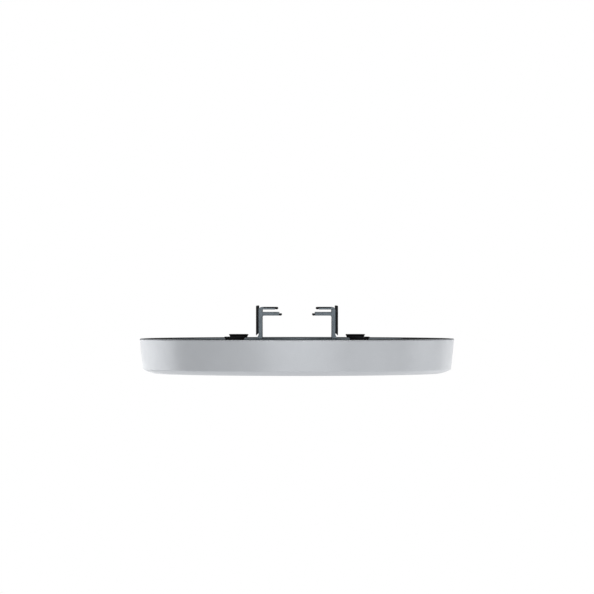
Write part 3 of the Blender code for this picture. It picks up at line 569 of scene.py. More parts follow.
def rod(name, radius, low, high, centre=(0.0, 0.0), end_radius=None, steps=PIN_STEPS, edge=0.0):
    """An upright cylinder or cone with eased ends; the end radius is the higher one's."""
    far = radius if end_radius is None else end_radius
    corners = [(0.0, high, 0.0), (far, high, edge), (radius, low, edge), (0.0, low, 0.0)]
    return turned(name, corners, steps, centre)


def block(name, low, high, edge=0.0, corner=0.0):
    """A box between two corners, with rounded upright and flat edges."""
    loop = box_loop(low[0], high[0], low[1], high[1], corner)
    return prism(name, [loop], low[2], high[2], edge)


def boolean(target, tool, operation):
    change = target.modifiers.new(operation.lower(), "BOOLEAN")
    change.object = tool
    change.operation = operation
    change.solver = "EXACT"
    mesh = evaluated_mesh(target)
    target.modifiers.clear()
    target.data = mesh
    bpy.data.objects.remove(tool, do_unlink=True)


def cut(target, tool):
    boolean(target, tool, "DIFFERENCE")


def add(target, tool):
    boolean(target, tool, "UNION")


def join(name, pieces):
    """Several separate solids as one object."""
    shape = bmesh.new()
    for piece in pieces:
        shape.from_mesh(piece.data)
        bpy.data.objects.remove(piece, do_unlink=True)
    return as_object(name, shape)


def copies(name, piece, places):
    """One object that repeats a small solid at several places."""
    shape = bmesh.new()
    for place in places:
        start = len(shape.verts)
        shape.from_mesh(piece.data)
        shape.verts.ensure_lookup_table()
        bmesh.ops.transform(shape, matrix=place, verts=shape.verts[start:])
    bpy.data.objects.remove(piece, do_unlink=True)
    return as_object(name, shape)


def placed(x, y, z, degrees=0.0, reach=0.0, along=0.0):
    """A place at a point, turned about Z, then shifted outwards and sideways."""
    turn = Matrix.Rotation(math.radians(degrees), 4, "Z")
    return Matrix.Translation((x, y, z)) @ turn @ Matrix.Translation((reach, along, 0.0))


def show(piece, finish, *nodes, body="access_point", sharp=40.0):
    """Shades a piece, gives it its finish and hangs it on its body in place of its CAD nodes."""
    mesh = piece.data
    mesh.materials.clear()
    mesh.materials.append(FINISH[finish])
    mesh.shade_smooth()
    mesh.set_sharp_from_angle(angle=math.radians(sharp))
    even = piece.modifiers.new("even_normals", "WEIGHTED_NORMAL")
    even.keep_sharp = True
    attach(piece, body)
    if nodes:
        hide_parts(*nodes)


# Access point.


def wall_radius(height):
    """The cover's outer radius at a height on its tapered wall."""
    share = (RIM_Z - height) / (RIM_Z - WALL_FOOT_Z)
    return BODY_RADIUS + (WALL_FOOT_RADIUS - BODY_RADIUS) * share


def cover_corners():
    """The cover's section, from the middle of its inside round the rim to its face's middle."""
    floor_z = FACE_Z + FACE_THICKNESS
    middle = Vector(((WALL_FOOT_RADIUS + FACE_RADIUS) / 2, (WALL_FOOT_Z + FACE_Z) / 2))
    outwards = Vector((WALL_FOOT_Z - FACE_Z, FACE_RADIUS - WALL_FOOT_RADIUS)).normalized()
    crown = middle + outwards * CHAMFER_BULGE
    return [
        (0.0, floor_z, 0.0), (FACE_RADIUS, floor_z, 0.0015),
        (wall_radius(WALL_FOOT_Z) - WALL - 0.0003, WALL_FOOT_Z + 0.0019, 0.0010),
        (wall_radius(GASKET_LEDGE_Z) - WALL, GASKET_LEDGE_Z - 0.0020, 0.0003),
        (GASKET_LEDGE_RADIUS, GASKET_LEDGE_Z - 0.0012, 0.0),
        (GASKET_LEDGE_RADIUS, GASKET_LEDGE_Z, 0.0),
        (wall_radius(GASKET_LEDGE_Z) - WALL, GASKET_LEDGE_Z, 0.0),
        (BODY_RADIUS - WALL, RIM_Z, 0.0002), (BODY_RADIUS, RIM_Z, RIM_ROUND),
        (WALL_FOOT_RADIUS, WALL_FOOT_Z, WALL_FOOT_ROUND), (crown.x, crown.y, CHAMFER_ROUND),
        (FACE_RADIUS, FACE_Z, FACE_ROUND), (FACE_RADIUS * 0.6, FACE_Z, 0.0), (0.0, FACE_Z, 0.0),
    ]


def make_cover():
    """The shell that shows: tapered wall, crowned chamfer and flat face with the light's hole."""
    cover = turned("cover_shell", cover_corners())
    top = RIM_Z - HOUSING_THICKNESS - GAP
    foot = FACE_Z + FACE_THICKNESS - GAP
    places = ring_places(*HOUSING_SCREWS)
    bosses = [rod("boss", BOSS_RADIUS, foot, top, place, edge=EDGE) for place in places]
    add(cover, join("bosses", bosses))
    low, high = top - BOSS_HOLE_DEPTH, top + OVERCUT
    holes = [rod("hole", BOSS_HOLE_RADIUS, low, high, place) for place in places]
    low, high = FACE_Z - OVERCUT, FACE_Z + 2 * FACE_THICKNESS
    holes.append(rod("hole", LENS_RADIUS + GAP / 2, low, high, (0.0, LENS_Y)))
    cut(cover, join("holes", holes))
    show(cover, "satin_white", "front_cover", sharp=32.0)


def housing_corners():
    """The back housing's section: pocket with its ledge, grooved back, skirt and underside."""
    under_z = POCKET_FLOOR_Z - POCKET_FLOOR
    ledge_foot = RIM_Z - LEDGE_THICKNESS
    back_under = RIM_Z - HOUSING_THICKNESS
    rim_radius = BODY_RADIUS - WALL - 0.00018
    pocket_outer = POCKET_RADIUS + POCKET_WALL
    step_radius = LOBE_RADIUS + 0.0025
    step_z = RIM_Z - PLATE_THICKNESS - 0.0021
    half = GROOVE_WIDTH / 2
    return [
        (0.0, POCKET_FLOOR_Z, 0.0), (POCKET_RADIUS, POCKET_FLOOR_Z, 0.0004),
        (POCKET_RADIUS, ledge_foot, 0.0), (POCKET_MOUTH_RADIUS, ledge_foot, 0.0002),
        (POCKET_MOUTH_RADIUS, RIM_Z, 0.0003), (GROOVE_RADIUS - half, RIM_Z, 0.0001),
        (GROOVE_RADIUS - half / 2, RIM_Z - GROOVE_DEPTH, 0.0001),
        (GROOVE_RADIUS + half / 2, RIM_Z - GROOVE_DEPTH, 0.0001),
        (GROOVE_RADIUS + half, RIM_Z, 0.0001), (rim_radius, RIM_Z, 0.0003),
        (SKIRT_FOOT_RADIUS, SKIRT_FOOT_Z, 0.0), (SKIRT_INNER_RADIUS, SKIRT_FOOT_Z, 0.0),
        (SKIRT_INNER_RADIUS, back_under, 0.0), (step_radius, back_under, 0.0),
        (step_radius, step_z, 0.0), (pocket_outer, step_z, 0.0), (pocket_outer, under_z, 0.0),
        (0.0, under_z, 0.0),
    ]


def make_housing():
    """The black disc that closes the cover and takes the mount plate in its pocket."""
    housing = turned("rear_housing", housing_corners(), corner_steps=3)
    inner, above = POCKET_MOUTH_RADIUS - 2 * OVERCUT, RIM_Z + OVERCUT
    low = RIM_Z - LEDGE_THICKNESS - 2 * HAIR
    entries = []
    for degrees in TAB_DEGREES:
        outer = POCKET_RADIUS + 4 * HAIR
        loop = sector(inner, outer, degrees - TWIST_DEGREES, ENTRY_HALF_DEGREES)
        entries.append(prism("entry", [loop], low, above))
    cut(housing, join("entries", entries))
    half = TWIST_DEGREES / 2
    loop = sector(inner, LOBE_RADIUS + LOBE_SPARE, 180.0 - half, half + LOBE_SPARE_DEGREES)
    cut(housing, prism("lobe_window", [loop], RIM_Z - PLATE_THICKNESS - GAP, above))
    add_bay(housing)
    cut_back_details(housing)
    show(housing, "black_plastic", "back_housing", sharp=32.0)


def add_bay(housing):
    """The well that holds the cable's plug, with the jack's window and the reset hole."""
    top = POCKET_FLOOR_Z - POCKET_FLOOR + 2 * GAP
    low = (-BAY_HALF_WIDTH - BAY_WALL, BAY_LOW_Y - BAY_WALL, BAY_FLOOR_Z - BAY_FLOOR)
    high = (BAY_HALF_WIDTH + BAY_WALL, BAY_HIGH_Y + BAY_WALL, top)
    add(housing, block("bay", low, high, corner=BAY_WALL))
    low = (-BAY_HALF_WIDTH, BAY_LOW_Y, BAY_FLOOR_Z)
    high = (BAY_HALF_WIDTH, BAY_HIGH_Y, POCKET_FLOOR_Z + OVERCUT)
    cut(housing, block("bay_space", low, high, corner=0.0008))
    reset = sizes("reset_button")[2]
    loops = [box_loop(*JACK_WINDOW, GAP), circle((reset.x, reset.z), RESET_HOLE_RADIUS)]
    wall = (BAY_HIGH_Y - OVERCUT, BAY_HIGH_Y + BAY_WALL + OVERCUT)
    openings = [prism("opening", [loop], *wall, plane="XZ") for loop in loops]
    cut(housing, join("openings", openings))


def cut_back_details(housing):
    """Screw seats, pad pockets and the turn marks on the back."""
    screws = ring_places(*HOUSING_SCREWS)
    tools = []
    for place in screws:
        foot = RIM_Z - SINK_DEPTH
        tools.append(rod("sink", SCREW_HOLE_RADIUS, foot, RIM_Z + HAIR, place, SINK_RADIUS))
    above = RIM_Z + OVERCUT
    for number in range(1, 5):
        place = sizes(f"tile_pad_{number}")[2].xy
        tools.append(rod("pocket", PAD_POCKET_RADIUS, RIM_Z - PAD_POCKET_DEPTH, above, place))
    for degrees in TAB_DEGREES:
        tip = degrees - TWIST_DEGREES + TURN_MARK_DEGREES
        mark = [polar(TURN_MARK_REACH, tip)]
        for side in (1, -1):
            mark.append(polar(TURN_MARK_REACH + side * TURN_MARK_SIZE, tip - TURN_MARK_LENGTH))
        tools.append(prism("turn_mark", [mark], RIM_Z - GAP, above))
    cut(housing, join("back_details", tools))
    foot = RIM_Z - 3 * HOUSING_THICKNESS
    holes = [rod("hole", SCREW_HOLE_RADIUS, foot, RIM_Z, place) for place in screws]
    cut(housing, join("screw_holes", holes))


def make_pads():
    """Rubber pads with ringed tops that rest on the ceiling tile."""
    for number in range(1, 5):
        low, high, middle, radius = sizes(f"tile_pad_{number}")
        valley, crest, easing = high.z - EDGE, high.z, HAIR
        corners = [(0.0, valley, 0.0)]
        for ring in PAD_RINGS:
            corners.append((ring - 2 * EDGE, valley, easing))
            corners.append((ring - EDGE, crest, easing))
            corners.append((ring + EDGE, crest, easing))
            corners.append((ring + 2 * EDGE, valley, easing))
        corners.append((radius - PAD_TAPER, valley, easing))
        corners.append((radius - PAD_TAPER + EDGE, crest, easing))
        corners.append((radius, crest, EDGE))
        corners.append((radius - PAD_TAPER, low.z, 0.0))
        corners.append((0.0, low.z, 0.0))
        pad = turned(f"ringed_pad_{number}", corners, 64, middle.xy, corner_steps=2)
        show(pad, "black_rubber", f"tile_pad_{number}", sharp=50.0)


# Mount plate and clip.


def make_plate():
    """The coated steel disc that carries the jaws."""
    meet = math.degrees(math.asin(LOBE_HALF_WIDTH / PLATE_RADIUS))
    edge = arc((0.0, 0.0), PLATE_RADIUS, -180.0 + meet, 180.0 - meet, ROUND_STEPS)
    x, y = LOBE_CORNER - LOBE_RADIUS, LOBE_HALF_WIDTH - LOBE_CORNER
    edge += arc((x, y), LOBE_CORNER, 90.0, 180.0, 8)
    edge += arc((x, -y), LOBE_CORNER, 180.0, 270.0, 8)
    loops = [edge, circle((0.0, 0.0), CABLE_HOLE_RADIUS, 96)]
    loops.append(circle((TETHER_HOLE_X, 0.0), TETHER_HOLE_RADIUS))
    for x in (-CEILING_HOLE_SPREAD, CEILING_HOLE_SPREAD):
        for y in (-CEILING_HOLE_SPREAD, CEILING_HOLE_SPREAD):
            loops.append(circle((x, y), CEILING_HOLE_RADIUS))
    for side in (-1, 1):
        loops.append(circle((side * LOCK_SCREW_X, 0.0), LOCK_SCREW_RADIUS + GAP))
        ends = span(side, NECK_X[0] - JAW_INWARD - GAP, NECK_X[1] + JAW_OUTWARD + GAP)
        for y_side in (-1, 1):
            loops.append(box_loop(*ends, *span(y_side, NECK_Y[0] - GAP, NECK_Y[1] + GAP), 0.0006))
    plate = prism("ceiling_plate", loops, RIM_Z - PLATE_THICKNESS, RIM_Z, PLATE_EDGE)
    cut_tabs(plate)
    press_beads(plate)
    show(plate, "blue_grey_metal", "mount_plate", body="mount")


def cut_tabs(plate):
    """Frees the three bayonet tabs with relief slits and bends them down by their thickness."""
    under_z, low_z = RIM_Z - PLATE_THICKNESS, PLATE_LOW.z
    slits = []
    for degrees in TAB_DEGREES:
        half = TAB_HALF_DEGREES + SLIT_DEGREES
        loop = sector(TAB_BEND_RADIUS, TAB_RADIUS + OVERCUT, degrees, half)
        slits.append(prism("slit", [loop], under_z - OVERCUT, RIM_Z + OVERCUT))
    cut(plate, join("slits", slits))
    tab_z = RIM_Z - (under_z - low_z)
    bend = TAB_BEND_RADIUS + TAB_BEND_REACH
    corners = [
        (TAB_BEND_RADIUS - HAIR, RIM_Z, 0.0), (TAB_BEND_RADIUS + TAB_BEND_LEAD, RIM_Z, TAB_ROUND),
        (bend, tab_z, TAB_ROUND), (TAB_RADIUS, tab_z, EDGE), (TAB_RADIUS, low_z, EDGE),
        (bend - TAB_BEND_LEAD, low_z, TAB_ROUND), (TAB_BEND_RADIUS, under_z, 0.0),
        (TAB_BEND_RADIUS - HAIR, under_z, 0.0),
    ]
    section = rounded(corners)
    tabs = [swept_sector("tab", section, degrees, TAB_HALF_DEGREES) for degrees in TAB_DEGREES]
    add(plate, join("tabs", tabs))


def swept_sector(name, section, middle, half, steps=16):
    """A closed (radius, height) section turned through part of a circle, with end caps."""
    shape = bmesh.new()
    rings = []
    for i in range(steps + 1):
        degrees = middle - half + 2 * half * i / steps
        ring = []
        for radius, height in section:
            ring.append(shape.verts.new((*polar(radius, degrees), height)))
        rings.append(ring)
    skin(shape, rings)
    return closed_object(name, shape)


def skin(shape, rings):
    """Faces between neighbouring rings of points, and a cap on each end."""
    count = len(rings[0])
    for near, far in zip(rings, rings[1:]):
        for i in range(count):
            j = (i + 1) % count
            shape.faces.new((near[i], near[j], far[j], far[i]))
    shape.faces.new(rings[0])
    shape.faces.new(rings[-1])


def press_beads(plate):
    """Four arcs pressed into the top as stiffening grooves."""
    tools = []
    for middle in DIAGONALS:
        loop = sector(*BEAD_RADII, middle, BEAD_HALF_DEGREES)
        tools.append(prism("bead", [loop], RIM_Z - BEAD_DEPTH, RIM_Z + OVERCUT, EDGE))
    cut(plate, join("beads", tools))


def jaw_loop():
    """The jaw's section: lower lip, slot for the rail's flange, upper lip, leg, flared foot."""
    lower_top = -RAIL_SLOT
    lower_bottom = lower_top - LOWER_LIP_THICKNESS
    foot = RIM_Z + GAP
    recess = LIP_THICKNESS - TRIM_FLAP
    corners = [
        (LEG_INNER_X, foot, 0.0), (LEG_INNER_X, lower_bottom, LIP_FILLET),
        (LOWER_LIP_TIP_X, lower_bottom, 0.0), (LOWER_LIP_TIP_X, lower_top, 0.0003),
        (RAIL_SLOT_END_X, lower_top, 0.0002), (RAIL_SLOT_END_X, 0.0, 0.0002),
        (LIP_TIP_X, 0.0, 0.0), (LIP_TIP_X, recess, 0.0), (TRIM_REACH_X, recess, 0.0),
        (TRIM_REACH_X, LIP_THICKNESS, 0.0), (LEG_OUTER_X, LIP_THICKNESS, LEG_CORNER),
        (LEG_OUTER_X, foot + LEG_FLARE_HEIGHT, 0.0010), (LEG_OUTER_X + LEG_FLARE, foot, 0.0),
    ]
    return rounded(corners)


def make_jaw(word, side):
    """One jaw of the clip, with its two necks that pass through the plate."""
    half = JAW_DEPTH / 2
    loop = mirrored(jaw_loop(), side)
    jaw = prism(f"{word}_clip_jaw", [loop], -half, half, JAW_EDGE, plane="XZ")
    foot_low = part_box(f"{word}_jaw_foot")[0]
    x_low, x_high = span(side, *NECK_X)
    necks = []
    for y_side in (-1, 1):
        near, far = span(y_side, *NECK_Y)
        low, high = (x_low, near, foot_low.z), (x_high, far, RIM_Z + NECK_RISE)
        necks.append(block("neck", low, high, edge=HAIR, corner=EDGE))
    add(jaw, join("necks", necks))
    show(jaw, "blue_grey_metal", f"{word}_jaw", body=f"{word}_jaw_body")


def make_foot(word, side):
    """The zinc-plated foot under the plate: a wide root and a slotted tongue."""
    low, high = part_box(f"{word}_jaw_foot")
    root, tip = sorted((abs(low.x), abs(high.x)))
    lower = [
        (root, low.y, 0.001), (FOOT_SHOULDER_X, low.y, 0.002),
        (FOOT_SHOULDER_X, -FOOT_TONGUE_Y, 0.002), (tip, -FOOT_TONGUE_Y, 0.003),
    ]
    edge = rounded(lower + [(x, -y, corner) for x, y, corner in reversed(lower)])
    reach = LOCK_SCREW_RADIUS + GAP
    slot = arc((LOCK_SCREW_X - JAW_OUTWARD, 0.0), reach, 90.0, 270.0, 12)
    slot += arc((LOCK_SCREW_X + JAW_INWARD, 0.0), reach, -90.0, 90.0, 12)
    loops = [edge, slot]
    for y_side in (-1, 1):
        near, far = span(y_side, NECK_Y[0] - HAIR, NECK_Y[1] + HAIR)
        loops.append(box_loop(NECK_X[0] - HAIR, NECK_X[1] + HAIR, near, far, HAIR))
    loops = [mirrored(loop, side) for loop in loops]
    foot = prism(f"{word}_clip_foot", loops, low.z, high.z, HAIR)
    show(foot, "zinc_steel", f"{word}_jaw_foot", body=f"{word}_jaw_body")


def make_grip(word, side):
    """The ribbed strip on the outer face of the leg, its foot cut on a slant."""
    low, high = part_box(f"{word}_grip_strip")
    inner = LEG_OUTER_X + HAIR / 2
    outer = max(abs(low.x), abs(high.x))
    corners = [
        (inner, low.z + GRIP_SLANT, 0.0), (outer, low.z, HAIR), (outer, high.z, 0.0005),
        (inner, high.z, 0.0003),
    ]
    loop = mirrored(rounded(corners), side)
    grip = prism(f"{word}_ribbed_grip", [loop], low.y, high.y, HAIR / 2, plane="XZ")
    count = int((high.y - low.y - 2 * GRIP_PITCH) / GRIP_PITCH)
    x_low, x_high = span(side, outer - GRIP_GROOVE_DEPTH, outer + OVERCUT)
    half = GRIP_GROOVE_WIDTH / 2
    grooves = []
    for i in range(count):
        y = GRIP_PITCH * (i - (count - 1) / 2)
        start, end = (x_low, y - half, low.z - OVERCUT), (x_high, y + half, high.z - 0.0012)
        grooves.append(block("groove", start, end))
    cut(grip, join("grooves", grooves))
    show(grip, "black_plastic", f"{word}_grip_strip", body=f"{word}_jaw_body")


def make_trims(word, side):
    """Rubber edge trims: a bulb on each lip, and on the upper lip a flap along its top."""
    x, z, radius = bulb(f"{word}_upper_bead")
    flap = LIP_THICKNESS - TRIM_FLAP
    upper = [(TRIM_REACH_X, flap), (LIP_TIP_X, flap), (LIP_TIP_X, z - radius * 0.6)]
    upper += arc((x, z), radius, -38.0, -270.0, 24)
    upper += [(LIP_TIP_X, LIP_THICKNESS), (TRIM_REACH_X, LIP_THICKNESS)]
    x, z, radius = bulb(f"{word}_lower_bead")
    stem = radius * math.sin(math.radians(STEM_DEGREES))
    lower = [(LOWER_LIP_TIP_X, z + stem), (LOWER_LIP_TIP_X, z - stem)]
    lower += arc((x, z), radius, -STEM_DEGREES, STEM_DEGREES - 360.0, 24)
    half = JAW_DEPTH / 2
    for level, points in (("upper", upper), ("lower", lower)):
        loop = mirrored(points, side)
        trim = prism(f"{word}_{level}_trim", [loop], -half, half, HAIR, plane="XZ")
        show(trim, "black_rubber", f"{word}_{level}_bead", body=f"{word}_jaw_body")


def bulb(node_name):
    """A bead's distance from the middle plane, its height and its radius."""
    low, high, middle, _ = sizes(node_name)
    return abs(middle.x), middle.z, (high.z - low.z) / 2


def make_lock_screw(word):
    """The clamp screw: threaded shaft and a cap head with a hexagon socket."""
    low, high, middle, radius = sizes(f"{word}_lock_screw")
    top = low.z + LOCK_HEAD_HEIGHT
    screw = rod(f"{word}_clamp_screw", radius, low.z, top, middle.xy, edge=EDGE, steps=64)
    floor_z = low.z + LOCK_SOCKET_DEPTH
    cut(screw, rod("socket", LOCK_SOCKET_RADIUS, low.z - OVERCUT, floor_z, middle.xy, steps=6))
    add(screw, threaded("shaft", LOCK_SCREW_RADIUS, top - EDGE, high.z, middle.xy))
    show(screw, "zinc_steel", f"{word}_lock_screw", body=f"{word}_lock_screw_body")


def threaded(name, radius, low, high, centre, pitch=0.0007, depth=0.00025, steps=32):
    """An upright threaded shaft whose ridge climbs one pitch a turn."""
    shape = bmesh.new()
    rows = math.ceil((high - low) / (pitch / 6))
    rings = []
    for row in range(rows + 1):
        z = low + (high - low) * row / rows
        ring = []
        for i in range(steps):
            phase = (z / pitch - i / steps) % 1.0
            x, y = polar(radius - depth * abs(2.0 * phase - 1.0), 360.0 * i / steps)
            ring.append(shape.verts.new((centre[0] + x, centre[1] + y, z)))
        rings.append(ring)
    skin(shape, rings)
    return closed_object(name, shape)


def make_housing_screws():
    """Countersunk screws with a cross recess, from the back into the cover."""
    places = ring_places(*HOUSING_SCREWS)
    for number, place in enumerate(places, 1):
        low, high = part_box(f"housing_screw_{number}")
        neck = high.z - 0.0015
        corners = [
            (0.0, high.z, 0.0),
            (0.0030, high.z, HAIR),
            (0.0012, neck, 0.0),
            (0.0012, neck - EDGE, 0.0),
            (0.0, neck - EDGE, 0.0),
        ]
        screw = turned(f"cross_screw_{number}", corners, 64, place)
        add(screw, threaded("shaft", 0.0014, low.z, neck, place, pitch=0.0006, depth=0.0003))
        cut_cross(screw, place, high.z)
        show(screw, "zinc_steel", f"housing_screw_{number}")


def cut_cross(screw, centre, height):
    """A cross recess in a screw's head, at the height of the head's face."""
    for turn in CROSS_DEGREES:
        slot = block("slot", -CROSS_SLOT_HALF, CROSS_SLOT_HALF)
        slot.data.transform(placed(*centre, height, turn))
        cut(screw, slot)


# Inside the access point.


def make_gasket():
    """The foam ring between the housing's skirt and the cover's ledge, with rounded edges."""
    low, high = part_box("rim_gasket")
    inner = GASKET_LEDGE_RADIUS + GAP
    corners = [(inner, low.z), (high.x, low.z), (high.x, high.z), (inner, high.z)]
    section = rounded([(x, z, 0.0003) for x, z in corners])
    show(lathe("rim_seal", section, closed=True), "black_rubber", "rim_gasket")


def make_board():
    """The round board, cut away for the bay and for the sunk jack."""
    low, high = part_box("main_board")
    bay_x = BAY_HALF_WIDTH + BAY_WALL + BOARD_MARGIN
    bay_low = BAY_LOW_Y - BAY_WALL - BOARD_MARGIN
    bay_high = BAY_HIGH_Y + BAY_WALL + BOARD_MARGIN
    jack_x = JACK_HIGH.x + BOARD_MARGIN
    jack_end = JACK_HIGH.y + BOARD_MARGIN
    right = [(bay_x, bay_low), (bay_x, bay_high), (jack_x, bay_high), (jack_x, jack_end)]
    left = [(-x, y) for x, y in reversed(right)]
    opening = rounded([(x, y, 0.0004) for x, y in right + left])
    loops = [circle((0.0, 0.0), high.x, ROUND_STEPS), opening]
    for place in ring_places(*BOARD_SCREWS):
        loops.append(circle(place, BOARD_HOLE_RADIUS))
    show(prism("circuit_board", loops, low.z, high.z, HAIR), "board_green", "main_board")


def make_small_parts():
    """Rows of ceramic chips near the board's edge, each with two tinned ends."""
    board_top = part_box("main_board")[1].z
    places = []
    for start, stop in SMALL_PART_ARCS:
        for i in range(int((stop - start) / SMALL_PART_STEP) + 1):
            degrees = start + i * SMALL_PART_STEP
            places.append(placed(0.0, 0.0, board_top, degrees, SMALL_PART_REACH))
    x, y, z = SMALL_PART_HALF
    body = block("body", (-x, -y, 0.0), (x, y, z), FINE_EDGE)
    show(copies("ceramic_chips", body, places), "ferrite")
    x, z = x + TINNING, z + TINNING + HAIR / 10
    cap = block("cap", (-x, -EDGE, 0.0), (x, EDGE, z), FINE_EDGE)
    shifts = [Matrix.Translation((0.0, end, 0.0)) for end in (-y, y)]
    ends = [place @ shift for place in places for shift in shifts]
    show(copies("ceramic_chip_ends", cap, ends), "tin_can")


def make_chips():
    """Moulded chip bodies with a pin-one dimple, on bent leads or on solder balls."""
    board_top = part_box("main_board")[1].z
    leads, balls = [], []
    for name, pitch, sides in CHIPS:
        low, high, middle, _ = sizes(name)
        half = (high - low) / 2
        body = block(f"{name}_package", low, high, edge=0.00015, corner=0.0003)
        place = (low.x + DIMPLE_REACH, low.y + DIMPLE_REACH)
        cut(body, rod("dimple", DIMPLE_RADIUS, high.z - HAIR, high.z + HAIR, place, steps=24))
        show(body, "chip_black", name)
        for degrees in sides or (0, 90, 180, 270):
            reach, run = (half.x, half.y) if degrees % 180 == 0 else (half.y, half.x)
            count = int((run - 0.0006) / pitch)
            for i in range(-count, count + 1):
                where = (middle.x, middle.y, board_top, degrees)
                if sides:
                    leads.append(placed(*where, reach, i * pitch))
                else:
                    balls.append(placed(*where, reach - BALL_INSET, i * pitch))
    lead = prism("lead", [LEAD_BEND], -EDGE, EDGE, plane="XZ")
    show(copies("chip_leads", lead, leads), "tin_can")
    ball = rod("ball", BALL_RADIUS, 0.0, 0.0003, steps=12, edge=HAIR)
    show(copies("chip_balls", ball, balls), "tin_can")


def make_cans():
    """Folded shield lids with rows of vent holes, and the soft pads on them."""
    for number, node_name in enumerate(("processor_can", "radio_can"), 1):
        low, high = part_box(node_name)
        pad_low, pad_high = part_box(f"thermal_pad_{number}")
        edge = box_loop(low.x, high.x, low.y, high.y, 0.0010)
        loops = [edge]
        for i in range(int((high.x - low.x - 2 * VENT_MARGIN) / VENT_PITCH) + 1):
            for j in range(int((high.y - low.y - 2 * VENT_MARGIN) / VENT_PITCH) + 1):
                x = low.x + VENT_MARGIN + i * VENT_PITCH
                y = low.y + VENT_MARGIN + j * VENT_PITCH
                if not (pad_low.x < x < pad_high.x and pad_low.y < y < pad_high.y):
                    loops.append(circle((x, y), VENT_RADIUS, 16))
        lid = prism(f"{node_name}_lid", loops, high.z - CAN_SHEET, high.z, HAIR)
        x_ends = (low.x + CAN_SHEET, high.x - CAN_SHEET)
        inner = box_loop(*x_ends, low.y + CAN_SHEET, high.y - CAN_SHEET, 0.0007)
        add(lid, prism("walls", [edge, inner], low.z, high.z - CAN_SHEET / 2))
        show(lid, "tin_can", node_name)
        pad = block(f"soft_pad_{number}", pad_low, pad_high, EDGE, 0.0008)
        show(pad, "thermal_pad", f"thermal_pad_{number}")


def make_crystal():
    """The clock crystal, a drawn can on a thin flange."""
    low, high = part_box("clock_crystal")
    step = Vector((CRYSTAL_FLANGE, CRYSTAL_FLANGE, 0.0))
    rim = (high.x, high.y, low.z + CRYSTAL_FLANGE)
    can = block("crystal_can", low + step, high - step, EDGE, 0.0006)
    add(can, block("flange", low, rim, HAIR / 2, 0.0006))
    show(can, "tin_can", "clock_crystal")


def make_spreader():
    """The aluminium plate that carries heat to the housing, with long shallow grooves."""
    low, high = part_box("heat_spreader")
    plate = block("grooved_spreader", low, high, EDGE, 0.0020)
    width, depth = FIN_GROOVE
    grooves = []
    for i in range(FIN_COUNT):
        x = low.x + (i + 1) * FIN_PITCH
        start = (x - width / 2, low.y + 0.003, high.z - depth)
        end = (x + width / 2, high.y - 0.003, high.z + OVERCUT)
        grooves.append(block("groove", start, end, corner=0.0006))
    cut(plate, join("grooves", grooves))
    show(plate, "aluminium", "heat_spreader")


def make_capacitors():
    """Crimped cans with a vented top, each on a plinth."""
    for number in range(1, 4):
        low, high, middle, radius = sizes(f"capacitor_{number}")
        crimp = low.z + 0.0014
        corners = [
            (0.0, high.z, 0.0),
            (radius, high.z, 0.0004),
            (radius, crimp + 0.0004, EDGE),
            (radius - 0.0004, crimp, 0.0003),
            (radius, crimp - 0.0004, EDGE),
            (radius, low.z + GAP, EDGE),
            (0.0, low.z + GAP, 0.0),
        ]
        can = turned(f"crimped_capacitor_{number}", corners, 64, middle.xy)
        for turn in (0.0, 60.0, 120.0):
            vent = block("vent", (-0.0024, -HAIR, -HAIR), (0.0024, HAIR, OVERCUT))
            vent.data.transform(placed(*middle.xy, high.z, turn))
            cut(can, vent)
        show(can, "aluminium", f"capacitor_{number}")
        foot = (middle.x - radius, middle.y - radius, low.z - GAP)
        top = (middle.x + radius, middle.y + radius, low.z + 0.0004)
        show(block(f"capacitor_plinth_{number}", foot, top, HAIR, 0.0012), "chip_black")


def make_inductors():
    """Shielded blocks with a ring where the wound core sits in its shield."""
    for number in range(1, 3):
        low, high, middle, _ = sizes(f"inductor_{number}")
        coil = block(f"shielded_inductor_{number}", low, high, EDGE, 0.0016)
        ring = [circle(middle.xy, radius) for radius in (0.0032, 0.0029)]
        cut(coil, prism("ring", ring, high.z - GAP, high.z + OVERCUT))
        show(coil, "ferrite", f"inductor_{number}")


def make_transformer():
    """A ferrite frame round a wound coil, on a bobbin."""
    low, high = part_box("power_transformer")
    leg, base_z = 0.0028, low.z + 0.0012
    core = block("transformer_core", (low.x, low.y, base_z), high, EDGE, 0.0004)
    start = (low.x + leg, low.y - OVERCUT, low.z + leg)
    cut(core, block("space", start, (high.x - leg, high.y + OVERCUT, high.z - 0.0014)))
    show(core, "ferrite", "power_transformer")
    start = (low.x + leg + HAIR, low.y + 0.0008, low.z + leg + HAIR)
    end = (high.x - leg - HAIR, high.y - 0.0008, high.z - 0.0015)
    show(block("transformer_coil", start, end, 0.0003, 0.0010), "antenna_brass")
    base = block("transformer_bobbin", low, (high.x, high.y, base_z), HAIR, 0.0005)
    show(base, "chip_black")


